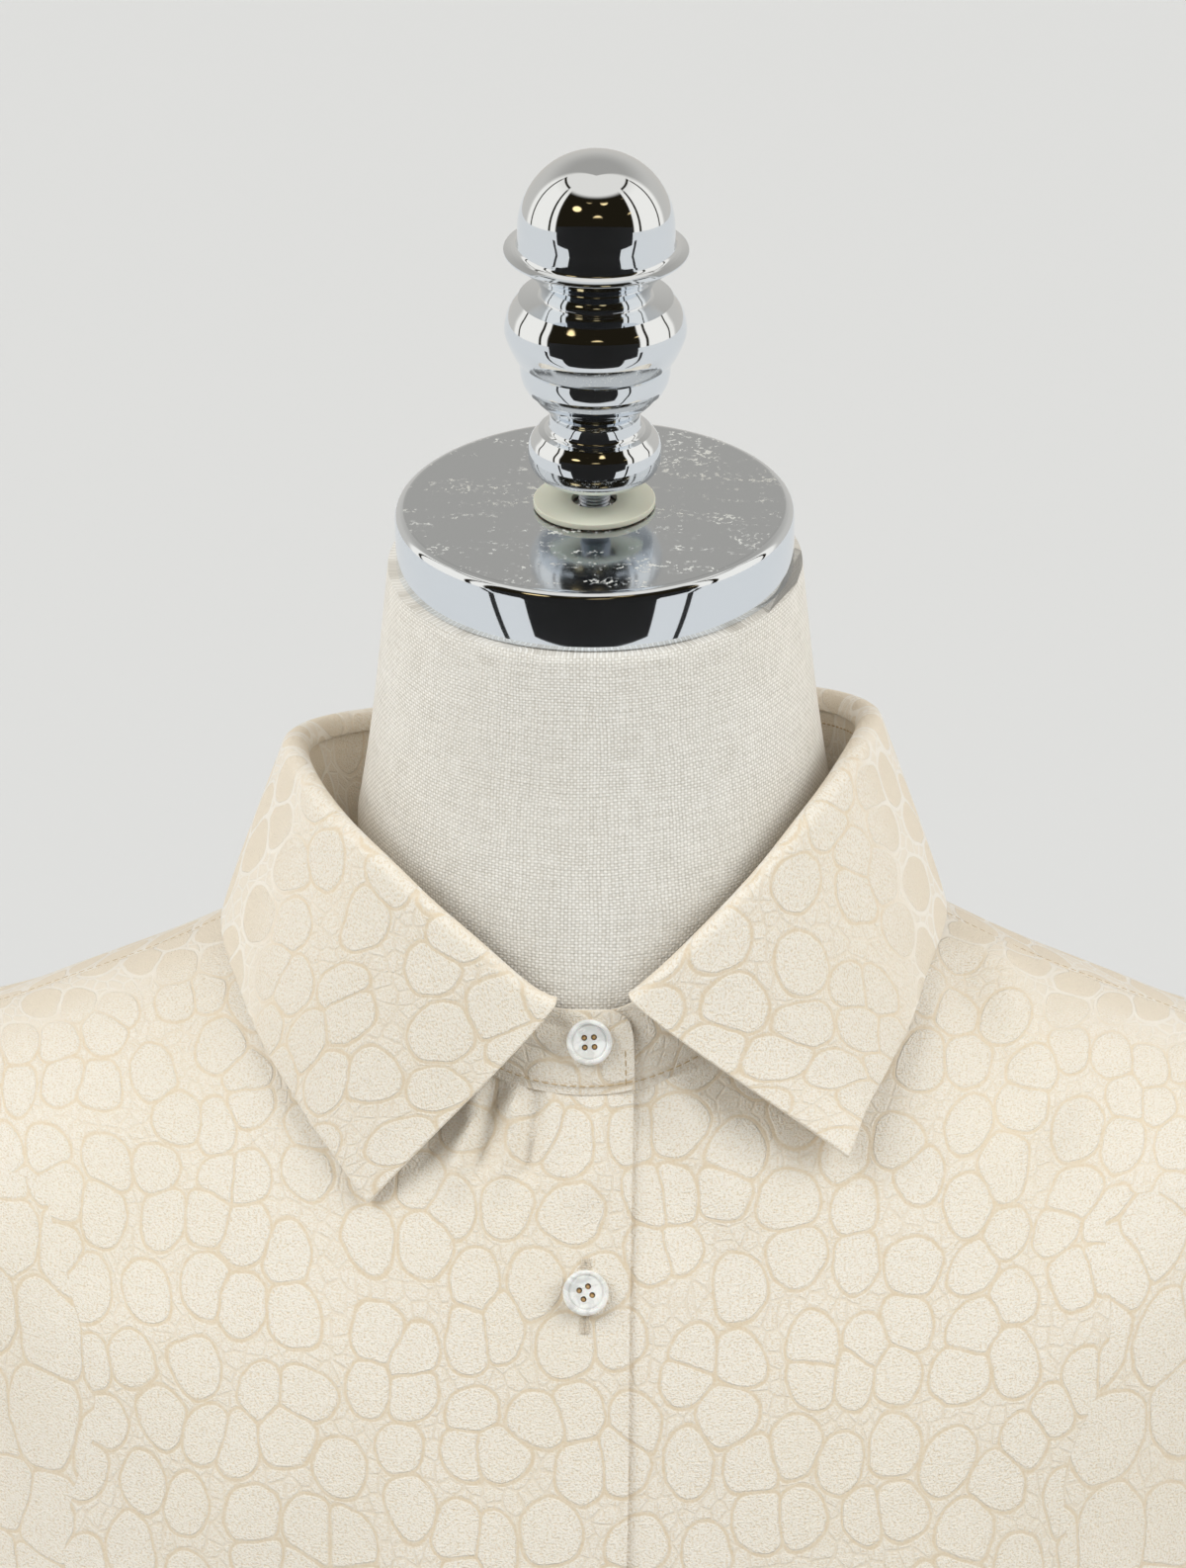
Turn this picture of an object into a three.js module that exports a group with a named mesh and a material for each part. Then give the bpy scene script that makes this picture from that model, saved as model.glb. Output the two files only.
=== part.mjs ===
// A long-sleeved blouse with a shirt collar, worn by a limbless dress form on a round stand.
// Millimetres, +Z up, the floor at Z = 0 and the stand's axis on Z. The blouse's front faces -Y,
// and left and right are the wearer's: the wearer's left is at +X.
import * as THREE from "three";

// Cloth
const WALL = 1.2; // body and sleeve cloth, with its seams pressed flat
const COLLAR_WALL = 1.3; // two plies and an interlining
const SEAM_GAP = 0.34;
const LAYER_STEP = WALL + 0.6; // how far the upper front lies outside the lower one
const OVERLAP_UPPER = 11; // the right front's edge, past the centre line
const OVERLAP_LOWER = 12; // the left front's edge, past the centre line on the other side
const LAYER_FULL = 28; // from the centre line to where the step starts to fade
const LAYER_FADE = 42; // from there to where both fronts lie alike

// Rings of the blouse's body, from the neck seam down to the hem. z and half are at the side,
// front and back are depths at the centre, the drops lower the ring at its front and back, and closing is
// the x of the line through the buttons.
const BODY_RINGS = [
  { z: 960, half: 70, front: 70, back: 62, frontDrop: 38, backDrop: 3, square: 2.0, closing: 1.5 },
  { z: 940, half: 110, front: 84, back: 78, frontDrop: 47, backDrop: 5, square: 2.0, closing: 1.5 },
  { z: 924.5, half: 150, front: 97, back: 93, frontDrop: 62.5, backDrop: 18.5, square: 2.05, closing: 1.6 },
  { z: 908, half: 189, front: 109, back: 103, frontDrop: 84, backDrop: 46, square: 2.1, closing: 1.8 },
  { z: 852, half: 195, front: 119, back: 109, frontDrop: 70, backDrop: 42, square: 2.2, closing: 0.6 },
  { z: 790, half: 193, front: 127, back: 111, frontDrop: 38, backDrop: 20, square: 2.25, closing: -1.6 },
  { z: 738, half: 189, front: 131, back: 111, frontDrop: 14, backDrop: 6, square: 2.25, closing: -2.4 },
  { z: 655, half: 184, front: 130, back: 109, frontDrop: 2, backDrop: 0, square: 2.2, closing: -2 },
  { z: 570, half: 181, front: 127, back: 108, frontDrop: 0, backDrop: 0, square: 2.15, closing: -1 },
  { z: 485, half: 183, front: 126, back: 111, frontDrop: 0, backDrop: 0, square: 2.1, closing: 0 },
  { z: 405, half: 188, front: 129, back: 117, frontDrop: 6, backDrop: 8, square: 2.1, closing: 0 },
  { z: 335, half: 193, front: 133, back: 123, frontDrop: 30, backDrop: 36, square: 2.1, closing: 0 },
];
const SHOULDER = 3; // the ring through the shoulder points
const UNDERARM = 6; // the ring through the underarm points
const HEM = BODY_RINGS.length - 1;

// Soft folds: at is the angle from the wearer's left (-90 is the front), width its spread in degrees,
// from and to are rings, and depth is how far the cloth stands out there.
const BODY_FOLDS = [
  { at: -68, width: 8, from: 6.4, to: 11.6, depth: 6 },
  { at: -38, width: 10, from: 6.0, to: 11.6, depth: 8 },
  { at: -14, width: 8, from: 6.6, to: 11.6, depth: -6 },
  { at: 18, width: 10, from: 6.3, to: 11.6, depth: 8 },
  { at: 47, width: 9, from: 5.4, to: 11.6, depth: 6 },
  { at: 74, width: 9, from: 6.8, to: 11.6, depth: -7 },
  { at: 101, width: 9, from: 5.6, to: 11.6, depth: 7 },
  { at: 129, width: 10, from: 6.5, to: 11.6, depth: 6 },
  { at: 160, width: 9, from: 6.1, to: 11.6, depth: 8 },
  { at: 195, width: 8, from: 6.6, to: 11.6, depth: -6 },
  { at: 219, width: 10, from: 6.1, to: 11.6, depth: 8 },
  { at: 247, width: 8, from: 6.7, to: 11.6, depth: 6 },
];

// Seams
const ARMHOLE_FRONT = 27; // degrees the armhole reaches forward of the side
const ARMHOLE_BACK = 24;
const ARMHOLE_SHAPE = 0.72;
const YOKE_SEAM_Z = 868;
const YOKE_EDGE_STEP = 3; // the armhole step at which the yoke seam ends

// Grid steps
const ROWS_SHOULDER = 5;
const ROWS_ARMHOLE = 10;
const ROWS_SKIRT = 9;
const COLUMNS_FRONT = 12;
const COLUMNS_BACK = 20;

// Collar stand: its height over the neck seam and its lean outwards, round from the front
const STAND_SHAPE = [
  { at: -270, height: 30, lean: 2 },
  { at: -225, height: 27, lean: 4 },
  { at: -195, height: 29, lean: 6 },
  { at: -180, height: 30, lean: 6.5 },
  { at: -150, height: 32, lean: 5 },
  { at: -132, height: 33, lean: 2.5 },
  { at: -113, height: 28, lean: -1.5 },
  { at: -97, height: 18.6, lean: -4 },
  { at: -90, height: 20.6, lean: -4.5 },
  { at: -83, height: 18.6, lean: -4 },
  { at: -62, height: 31, lean: -2 },
  { at: -41, height: 38, lean: -1 },
  { at: -20, height: 38.6, lean: -1.4 },
  { at: 0, height: 37, lean: -1.4 },
  { at: 45, height: 34.5, lean: 0.5 },
  { at: 90, height: 30, lean: 2 },
];
const STAND_GAP = 0.5;
const STAND_STEPS = 40;
const STAND_ROWS = 3;

// The collar leaf, on each side: along is 0 at the centre back and 1 at the front corner, foldAngle is
// where it leaves the stand, edgeAngle and edgeRing are where its outer edge lies over the body, lift is
// its clearance there, and roll is the share of the full roll over the stand.
const LEAF_RIGHT = [
  { along: 0, foldAngle: 90, edgeAngle: 90, edgeRing: 0.52, lift: 2.4, roll: 1 },
  { along: 0.3, foldAngle: 40, edgeAngle: 42, edgeRing: 0.53, lift: 2.4, roll: 1 },
  { along: 0.5, foldAngle: 4, edgeAngle: 6, edgeRing: 0.585, lift: 2.4, roll: 1 },
  { along: 0.66, foldAngle: -26, edgeAngle: -26, edgeRing: 0.68, lift: 2.4, roll: 1 },
  { along: 0.8, foldAngle: -52, edgeAngle: -46, edgeRing: 0.88, lift: 2.3, roll: 0.9 },
  { along: 0.91, foldAngle: -70, edgeAngle: -57, edgeRing: 1.06, lift: 2.3, roll: 0.6 },
  { along: 1, foldAngle: -84, edgeAngle: -64.2, edgeRing: 1.25, lift: 2.3, roll: 0.15 },
];
const LEAF_LEFT = [
  { along: 0, foldAngle: 90, edgeAngle: 90, edgeRing: 0.52, lift: 2.4, roll: 1 },
  { along: 0.3, foldAngle: 40, edgeAngle: 42, edgeRing: 0.46, lift: 2.4, roll: 1 },
  { along: 0.5, foldAngle: 4, edgeAngle: 6, edgeRing: 0.42, lift: 2.6, roll: 1 },
  { along: 0.66, foldAngle: -26, edgeAngle: -24, edgeRing: 0.52, lift: 3.2, roll: 1 },
  { along: 0.8, foldAngle: -52, edgeAngle: -41, edgeRing: 0.74, lift: 4.5, roll: 0.9 },
  { along: 0.91, foldAngle: -70, edgeAngle: -50, edgeRing: 0.9, lift: 6, roll: 0.6 },
  { along: 1, foldAngle: -80, edgeAngle: -56, edgeRing: 1.12, lift: 8, roll: 0.15 },
];
const ROLL_RISE = 2.6; // of the leaf over the stand's top
const ROLL_OUT = 3.4;
const LEAF_BULGE = 0.03; // of the leaf's width, outwards before its edge
const LEAF_STEPS = 36;
const LEAF_ROWS = 8;

// Sleeve rings below the armhole: the outer line hangs from the shoulder and the inner one from the
// underarm; halfY is the half width from front to back, and midY its middle.
const SLEEVE_RINGS = [
  { outX: 206, outZ: 903, inX: 196, inZ: 740, halfY: 78, midY: 2 },
  { outX: 226, outZ: 887, inX: 202, inZ: 730, halfY: 82, midY: 3 },
  { outX: 241, outZ: 856, inX: 206, inZ: 709, halfY: 84, midY: 3 },
  { outX: 251, outZ: 812, inX: 209, inZ: 678, halfY: 83, midY: 2 },
  { outX: 257, outZ: 752, inX: 211, inZ: 640, halfY: 80, midY: 0 },
  { outX: 261, outZ: 684, inX: 214, inZ: 596, halfY: 77, midY: -3 },
  { outX: 263, outZ: 612, inX: 216, inZ: 550, halfY: 74, midY: -7 },
  { outX: 263, outZ: 542, inX: 217, inZ: 502, halfY: 70, midY: -11 },
  { outX: 262, outZ: 476, inX: 217, inZ: 454, halfY: 66, midY: -15 },
  { outX: 260, outZ: 416, inX: 217, inZ: 408, halfY: 60, midY: -18 },
  { outX: 258, outZ: 386, inX: 218, inZ: 384, halfY: 51, midY: -20 },
];
const SLEEVE_BLEND = 3; // rings over which the armhole's own curve fades out
const SLEEVE_ROWS = 18;
const SLEEVE_FOLDS = [
  { at: 40, width: 24, from: 2, to: 7, depth: 4 },
  { at: 105, width: 22, from: 4, to: 10, depth: 5 },
  { at: 175, width: 26, from: 3.4, to: 9, depth: -5 },
  { at: 250, width: 22, from: 4.6, to: 10, depth: 5 },
  { at: 315, width: 24, from: 1.6, to: 8, depth: 4 },
];

// Cuff
const CUFF = { height: 56, wall: 1.5, flare: 1.5, overlap: 14, step: 2, opening: 290 };
const CUFF_STEPS = 28;

// Buttons
const BUTTON = { radius: 5.7, thick: 2.6, rim: 1.1, dish: 0.6, standOff: 0.4 };
const BUTTON_SIDES = 14;
const STAND_BUTTON_RISE = 0.61; // up the collar stand, as a share of its height
const FRONT_BUTTON_HEIGHTS = [877, 797, 719, 639, 559, 479, 400];

// Dress form: the same kind of rings, from the neck's cut down to the flat bottom
const FORM_RINGS = [
  { z: 1043.8, half: 52.5, front: 50.9, back: 50.9, frontDrop: 12.9, backDrop: -12.9, y: -8, power: 1 },
  { z: 1008, half: 56.5, front: 54.5, back: 55, frontDrop: 9, backDrop: -10, y: -5, power: 1.2 },
  { z: 980, half: 61, front: 60, back: 56, frontDrop: 12, backDrop: -4, y: -2, power: 1.6 },
  { z: 960, half: 66, front: 65, back: 57.5, frontDrop: 30, backDrop: 2, y: 0, power: 2 },
  { z: 937.1, half: 109.5, front: 78, back: 73, frontDrop: 51, backDrop: 7, y: 0, power: 2 },
  { z: 921.6, half: 149.5, front: 88, back: 86, frontDrop: 68.5, backDrop: 22.5, y: 0, power: 2 },
  { z: 902, half: 174, front: 97, back: 95, frontDrop: 86, backDrop: 48, y: 0, power: 2 },
  { z: 850, half: 170, front: 106, back: 98, frontDrop: 70, backDrop: 42, y: 0, power: 2 },
  { z: 790, half: 158, front: 117, back: 98, frontDrop: 38, backDrop: 20, y: 0, power: 2 },
  { z: 730, half: 153, front: 122, back: 95, frontDrop: 10, backDrop: 4, y: 0, power: 2 },
  { z: 650, half: 138, front: 103, back: 88, frontDrop: 0, backDrop: 0, y: 0, power: 2 },
  { z: 570, half: 124, front: 90, back: 80, frontDrop: 0, backDrop: 0, y: 0, power: 2 },
  { z: 490, half: 140, front: 96, back: 92, frontDrop: 0, backDrop: 0, y: 0, power: 2 },
  { z: 400, half: 166, front: 104, back: 104, frontDrop: 0, backDrop: 0, y: 0, power: 2 },
  { z: 320, half: 168, front: 103, back: 104, frontDrop: 0, backDrop: 0, y: 0, power: 2 },
  { z: 250, half: 158, front: 96, back: 98, frontDrop: 0, backDrop: 0, y: 0, power: 2 },
];
const FORM_ROWS = 30;
const FORM_COLUMNS = 32;

// Neck cap and finial, turned pieces on the neck's tilted axis
const NECK_TILT = 14.2; // degrees forward
const CAP = { radius: 50.4, height: 15.5, round: 2.4 };
const WASHER = { radius: 15.4, bore: 5.6, height: 1.6 };
const STUD = { radius: 4, length: 20 };
const FINIAL_LIFT = 8.8; // of the finial's underside over the cap
const FINIAL_LEAN = 1; // degrees to the wearer's left
// The finial's outline: radius and height over its underside
const FINIAL_PROFILE = [
  { radius: 12.4, height: 0 },
  { radius: 14.8, height: 1 },
  { radius: 16.4, height: 3.5 },
  { radius: 16.8, height: 6.5 },
  { radius: 16.1, height: 9.8 },
  { radius: 14.2, height: 12.3 },
  { radius: 12.6, height: 12.6 },
  { radius: 11.5, height: 14 },
  { radius: 11.5, height: 17.4 },
  { radius: 15, height: 21.1 },
  { radius: 16.8, height: 24.2 },
  { radius: 17.5, height: 24.5 },
  { radius: 18.7, height: 28.7 },
  { radius: 18.8, height: 31.6 },
  { radius: 20.3, height: 33.4 },
  { radius: 22.2, height: 37.6 },
  { radius: 22.7, height: 40.6 },
  { radius: 21.6, height: 44.8 },
  { radius: 19.3, height: 48.3 },
  { radius: 13.7, height: 49.1 },
  { radius: 13.9, height: 51.6 },
  { radius: 17.2, height: 56.5 },
  { radius: 21.3, height: 59.9 },
  { radius: 22.9, height: 61.3 },
  { radius: 21.1, height: 61.5 },
  { radius: 19.8, height: 63.6 },
];
const BALL = { radius: 19.5, centre: 67 };
const BALL_STEPS = 6;
const FINIAL_SIDES = 24;

// Stand
const BASE = { radius: 150, height: 12, hub: 26, hubHeight: 30 };
const POLE = { radius: 14, seat: 12 };
const SOCKET = { radius: 42, neck: 20, height: 26, plate: 5 };
const TURNED_SIDES = 32;
const FIT_GAP = 0.3;

const COLOURS = {
  cloth: { color: 0xe9dfcb, roughness: 0.5, metalness: 0 },
  linen: { color: 0xe0dad0, roughness: 0.9, metalness: 0 },
  chrome: { color: 0xd8dadd, roughness: 0.06, metalness: 1 },
  pearl: { color: 0xf1efe9, roughness: 0.25, metalness: 0 },
  nylon: { color: 0xd9d9c6, roughness: 0.5, metalness: 0 },
};

const RAD = Math.PI / 180;
const clamp = (value, low, high) => Math.min(Math.max(value, low), high);
const mix = (a, b, share) => a + (b - a) * share;
const smooth = (share) => {
  const t = clamp(share, 0, 1);
  return t * t * (3 - 2 * t);
};
const signedPower = (value, power) => Math.sign(value) * Math.abs(value) ** power;
const point = (x, y, z) => new THREE.Vector3(x, y, z);
const between = (a, b, share) => a.clone().lerp(b, share);

// A smooth row at position s of a table, s counting its rows from 0.
function rowAt(table, s) {
  const k = clamp(Math.floor(s), 0, table.length - 2);
  const f = s - k;
  const [b, c] = [table[k], table[k + 1]];
  const row = {};
  for (const key of Object.keys(b)) {
    const before = k > 0 ? table[k - 1][key] : 2 * b[key] - c[key];
    const after = k + 2 < table.length ? table[k + 2][key] : 2 * c[key] - b[key];
    const [slopeB, slopeC] = [(c[key] - before) / 2, (after - b[key]) / 2];
    const [f2, f3] = [f * f, f * f * f];
    row[key] =
      (2 * f3 - 3 * f2 + 1) * b[key] +
      (f3 - 2 * f2 + f) * slopeB +
      (3 * f2 - 2 * f3) * c[key] +
      (f3 - f2) * slopeC;
  }
  return row;
}

// A row of a table whose first column is a position, linear between its rows.
function lineAt(table, key, position) {
  const last = table.length - 2;
  const found = table.findIndex((row, i) => i <= last && position <= table[i + 1][key]);
  const k = found < 0 ? last : found;
  const [b, c] = [table[k], table[k + 1]];
  const share = (position - b[key]) / (c[key] - b[key]);
  return Object.fromEntries(Object.keys(b).map((name) => [name, mix(b[name], c[name], share)]));
}

// How far the folds of a table stand out at an angle in degrees and a ring.
function foldsAt(folds, degrees, s) {
  let depth = 0;
  for (const fold of folds) {
    const turn = ((((degrees - fold.at) % 360) + 540) % 360) - 180;
    const across = Math.exp(-((turn / fold.width) ** 2));
    const along = smooth((s - fold.from) / 3) * smooth((fold.to - s) / 0.6 + 0.4);
    depth += fold.depth * across * along;
  }
  return depth;
}

// The blouse body's outer surface at an angle in radians and a ring.
function bodyPoint(angle, s, lift = 0) {
  const ring = rowAt(BODY_RINGS, s);
  const [c, n] = [Math.cos(angle), Math.sin(angle)];
  const [depth, drop] = n < 0 ? [ring.front, ring.frontDrop] : [ring.back, ring.backDrop];
  const out = foldsAt(BODY_FOLDS, angle / RAD, s);
  const power = 2 / ring.square;
  const place = point(
    (ring.half + out) * signedPower(c, power),
    (depth + out) * signedPower(n, power),
    ring.z - drop * n * n,
  );
  return lift ? place.addScaledVector(bodyNormal(angle, s), lift) : place;
}

function bodyNormal(angle, s) {
  const [turn, step] = [0.01, 0.02];
  const low = Math.max(s - step, 0);
  const across = bodyPoint(angle + turn, s).sub(bodyPoint(angle - turn, s));
  const down = bodyPoint(angle, s + step).sub(bodyPoint(angle, low));
  return down.cross(across).normalize();
}

// The angle, forward of the wearer's left side, at which the body's ring s has this x, and the angle at
// which it has this distance from y = 0.
function angleAtX(x, s) {
  const ring = rowAt(BODY_RINGS, s);
  return -Math.acos(signedPower(x / ring.half, ring.square / 2));
}
function angleAtY(y, s) {
  const ring = rowAt(BODY_RINGS, s);
  return Math.asin(signedPower(Math.abs(y) / ring.front, ring.square / 2));
}

// Armhole steps: step 0 is the shoulder point and the last one the underarm point.
const armholeTurn = (step) => (Math.PI * step) / ROWS_ARMHOLE;
const armholeRing = (step) => SHOULDER + ((UNDERARM - SHOULDER) * (1 - Math.cos(armholeTurn(step)))) / 2;
const armholeAngle = (step, reach) => reach * RAD * Math.sin(armholeTurn(step)) ** ARMHOLE_SHAPE;

// A closed wall between two grids of points. wraps joins the last column to the first.
function wallGeometry(outer, inner, wraps = false) {
  const [rows, columns] = [outer.length, outer[0].length];
  const at = (layer, j, i) => (layer * rows + j) * columns + (i % columns);
  const faces = [];
  const quad = (a, b, c, d) => faces.push(a, b, c, a, c, d);
  const spans = wraps ? columns : columns - 1;
  for (let j = 0; j + 1 < rows; j++) {
    for (let i = 0; i < spans; i++) {
      quad(at(0, j, i), at(0, j, i + 1), at(0, j + 1, i + 1), at(0, j + 1, i));
      quad(at(1, j, i), at(1, j + 1, i), at(1, j + 1, i + 1), at(1, j, i + 1));
    }
  }
  const end = rows - 1;
  for (let i = 0; i < spans; i++) {
    quad(at(0, 0, i + 1), at(0, 0, i), at(1, 0, i), at(1, 0, i + 1));
    quad(at(0, end, i), at(0, end, i + 1), at(1, end, i + 1), at(1, end, i));
  }
  const side = columns - 1;
  for (let j = 0; !wraps && j < end; j++) {
    quad(at(0, j, 0), at(0, j + 1, 0), at(1, j + 1, 0), at(1, j, 0));
    quad(at(0, j + 1, side), at(0, j, side), at(1, j, side), at(1, j + 1, side));
  }
  return facingOut([...outer.flat(), ...inner.flat()], faces);
}

// A closed solid through rings of points, with a flat end over the first and the last.
function loftGeometry(rings) {
  const columns = rings[0].length;
  const points = rings.flat();
  const faces = [];
  for (let j = 0; j + 1 < rings.length; j++) {
    for (let i = 0; i < columns; i++) {
      const [a, b] = [j * columns + i, j * columns + ((i + 1) % columns)];
      faces.push(a, b, b + columns, a, b + columns, a + columns);
    }
  }
  for (const [ring, turned] of [[0, true], [rings.length - 1, false]]) {
    const centre = points.length;
    const middle = point(0, 0, 0);
    rings[ring].forEach((p) => middle.addScaledVector(p, 1 / columns));
    points.push(middle);
    for (let i = 0; i < columns; i++) {
      const [a, b] = [ring * columns + i, ring * columns + ((i + 1) % columns)];
      faces.push(...(turned ? [b, a, centre] : [a, b, centre]));
    }
  }
  return facingOut(points, faces);
}

// A geometry of these faces, turned round if they enclose a negative volume.
function facingOut(points, faces) {
  let volume = 0;
  for (let f = 0; f < faces.length; f += 3) {
    const [a, b, c] = [0, 1, 2].map((k) => points[faces[f + k]]);
    volume += a.dot(b.clone().cross(c)) / 6;
  }
  if (volume < 0) faces.reverse();
  const geometry = new THREE.BufferGeometry().setFromPoints(points);
  geometry.setIndex(faces);
  geometry.computeVertexNormals();
  return geometry;
}

// Unit normals of a grid of points, on the side that down x across faces.
function gridNormals(grid, wraps = false) {
  const [rows, columns] = [grid.length, grid[0].length];
  return grid.map((row, j) =>
    row.map((place, i) => {
      const [left, right] = wraps
        ? [(i + columns - 1) % columns, (i + 1) % columns]
        : [Math.max(i - 1, 0), Math.min(i + 1, columns - 1)];
      const across = row[right].clone().sub(row[left]);
      const down = grid[Math.min(j + 1, rows - 1)][i].clone().sub(grid[Math.max(j - 1, 0)][i]);
      return down.cross(across).normalize();
    }),
  );
}

const moved = (grid, normals, distance) =>
  grid.map((row, j) => row.map((place, i) => place.clone().addScaledVector(normals[j][i], distance)));

const materials = Object.fromEntries(
  Object.entries(COLOURS).map(([name, values]) => [name, new THREE.MeshStandardMaterial(values)]),
);
const blouse = new THREE.Group();

function addMesh(group, name, geometry, material) {
  const mesh = new THREE.Mesh(geometry, materials[material]);
  mesh.name = name;
  group.add(mesh);
  return mesh;
}

// A wall on the body's surface. places holds [angle, ring, lift] for each point.
function bodyWall(places) {
  const outer = places.map((row) => row.map(([angle, s, lift]) => bodyPoint(angle, s, lift)));
  const inner = places.map((row) => row.map(([angle, s, lift]) => bodyPoint(angle, s, lift - WALL)));
  return wallGeometry(outer, inner);
}

// Rings of a panel's rows, and the angle of its edge at the side there: the shoulder seam, then the
// armhole, then the side seam.
function sideRows(reach) {
  const seam = (s) => angleAtY(SEAM_GAP / 2, s);
  const rows = [];
  for (let k = 0; k < ROWS_SHOULDER; k++) {
    const s = (SHOULDER * k) / ROWS_SHOULDER;
    rows.push({ s, angle: seam(s) });
  }
  for (let k = 0; k <= ROWS_ARMHOLE; k++) {
    const s = armholeRing(k);
    rows.push({ s, angle: Math.max(armholeAngle(k, reach), seam(s)) });
  }
  for (let k = 1; k <= ROWS_SKIRT; k++) {
    const s = mix(UNDERARM, HEM, k / ROWS_SKIRT);
    rows.push({ s, angle: seam(s) });
  }
  return rows;
}

// How far a front lies outside the body's own surface, for a point x past the centre line.
function layerLift(x) {
  return LAYER_STEP * smooth((x + LAYER_FULL + LAYER_FADE) / LAYER_FADE);
}

function addFronts() {
  const rows = sideRows(ARMHOLE_FRONT);
  const grid = (edge, upper) =>
    rows.map(({ s, angle }) => {
      const start = angleAtX(edge + rowAt(BODY_RINGS, s).closing, s);
      return Array.from({ length: COLUMNS_FRONT + 1 }, (_, i) => {
        const turn = mix(start, upper ? angle - Math.PI : -angle, i / COLUMNS_FRONT);
        const lift = upper ? layerLift(bodyPoint(turn, s).x) : 0;
        return [turn, s, lift];
      });
    });
  addMesh(blouse, "front_right", bodyWall(grid(OVERLAP_UPPER, true)), "cloth");
  addMesh(blouse, "front_left", bodyWall(grid(-OVERLAP_LOWER, false)), "cloth");
}

// The ring at which the body's back has the yoke seam's height, at this angle.
function yokeRing(angle) {
  let [low, high] = [1, UNDERARM];
  for (let k = 0; k < 30; k++) {
    const middle = (low + high) / 2;
    if (bodyPoint(angle, middle).z > YOKE_SEAM_Z) low = middle;
    else high = middle;
  }
  return low;
}

// Columns across the back: a share from the side's edge to the centre, and the side.
const backColumns = Array.from({ length: COLUMNS_BACK + 1 }, (_, i) => {
  const across = (2 * i) / COLUMNS_BACK - 1;
  return { share: 1 - Math.abs(across), left: across < 0 };
});
const backAngle = (edge, { share, left }) => {
  const angle = mix(edge, Math.PI / 2, share);
  return left ? angle : Math.PI - angle;
};

function addYokeAndBack() {
  const rows = sideRows(ARMHOLE_BACK);
  const seamRow = ROWS_SHOULDER + YOKE_EDGE_STEP;
  const seam = rows[seamRow];
  const seamRing = ({ share }) => mix(seam.s, yokeRing(mix(seam.angle, Math.PI / 2, share)), smooth(share * 3));
  const gapInRings = SEAM_GAP / 40;
  const yoke = rows.slice(0, seamRow + 1).map(({ s, angle }) =>
    backColumns.map((column) => {
      const ring = (s / seam.s) * seamRing(column);
      return [backAngle(angle, column), ring, 0];
    }),
  );
  const back = rows.slice(seamRow).map(({ s, angle }) =>
    backColumns.map((column) => {
      const start = seamRing(column) + gapInRings;
      const share = (s - seam.s) / (UNDERARM - seam.s);
      const ring = share < 1 ? mix(start, UNDERARM, share) : s;
      return [backAngle(angle, column), ring, 0];
    }),
  );
  addMesh(blouse, "yoke", bodyWall(yoke), "cloth");
  addMesh(blouse, "back", bodyWall(back), "cloth");
}

// A point on the collar stand's outer face: rise is 0 at the neck seam and 1 at the fold.
function standPoint(angle, rise, lift = 0) {
  const degrees = ((((angle / RAD + 270) % 360) + 360) % 360) - 270;
  const { height, lean } = lineAt(STAND_SHAPE, "at", degrees);
  const foot = bodyPoint(angle, 0);
  const out = point(Math.cos(angle), Math.sin(angle), 0);
  const place = foot.clone().addScaledVector(out, lean * smooth(rise * 0.9) + lift);
  const footRise = bodyPoint(angle, 0, Math.max(lift, 0)).z - foot.z;
  place.z += STAND_GAP + footRise + height * rise;
  return place;
}

// The lift of the stand's spiral: its right end lies over its left end.
function standLift(angle, along) {
  return along < 0.5 ? layerLift(bodyPoint(angle, 0).x) : 0;
}

function addCollarStand() {
  const { closing } = BODY_RINGS[0];
  const start = angleAtX(closing + OVERLAP_UPPER, 0);
  const finish = angleAtX(closing - OVERLAP_LOWER, 0) - 2 * Math.PI;
  const rows = Array.from({ length: STAND_ROWS + 1 }, (_, j) => j / STAND_ROWS);
  const columns = Array.from({ length: STAND_STEPS + 1 }, (_, i) => i / STAND_STEPS);
  const turnAt = (along) => mix(start, finish, along);
  const layer = (inset) =>
    rows.map((rise) =>
      columns.map((along) => {
        const place = standPoint(turnAt(along), rise, standLift(turnAt(along), along));
        const inward = point(-Math.cos(turnAt(along)), -Math.sin(turnAt(along)), 0);
        return place.addScaledVector(inward, inset);
      }),
    );
  addMesh(blouse, "collar_stand", wallGeometry(layer(0), layer(COLLAR_WALL)), "cloth");
}

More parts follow.
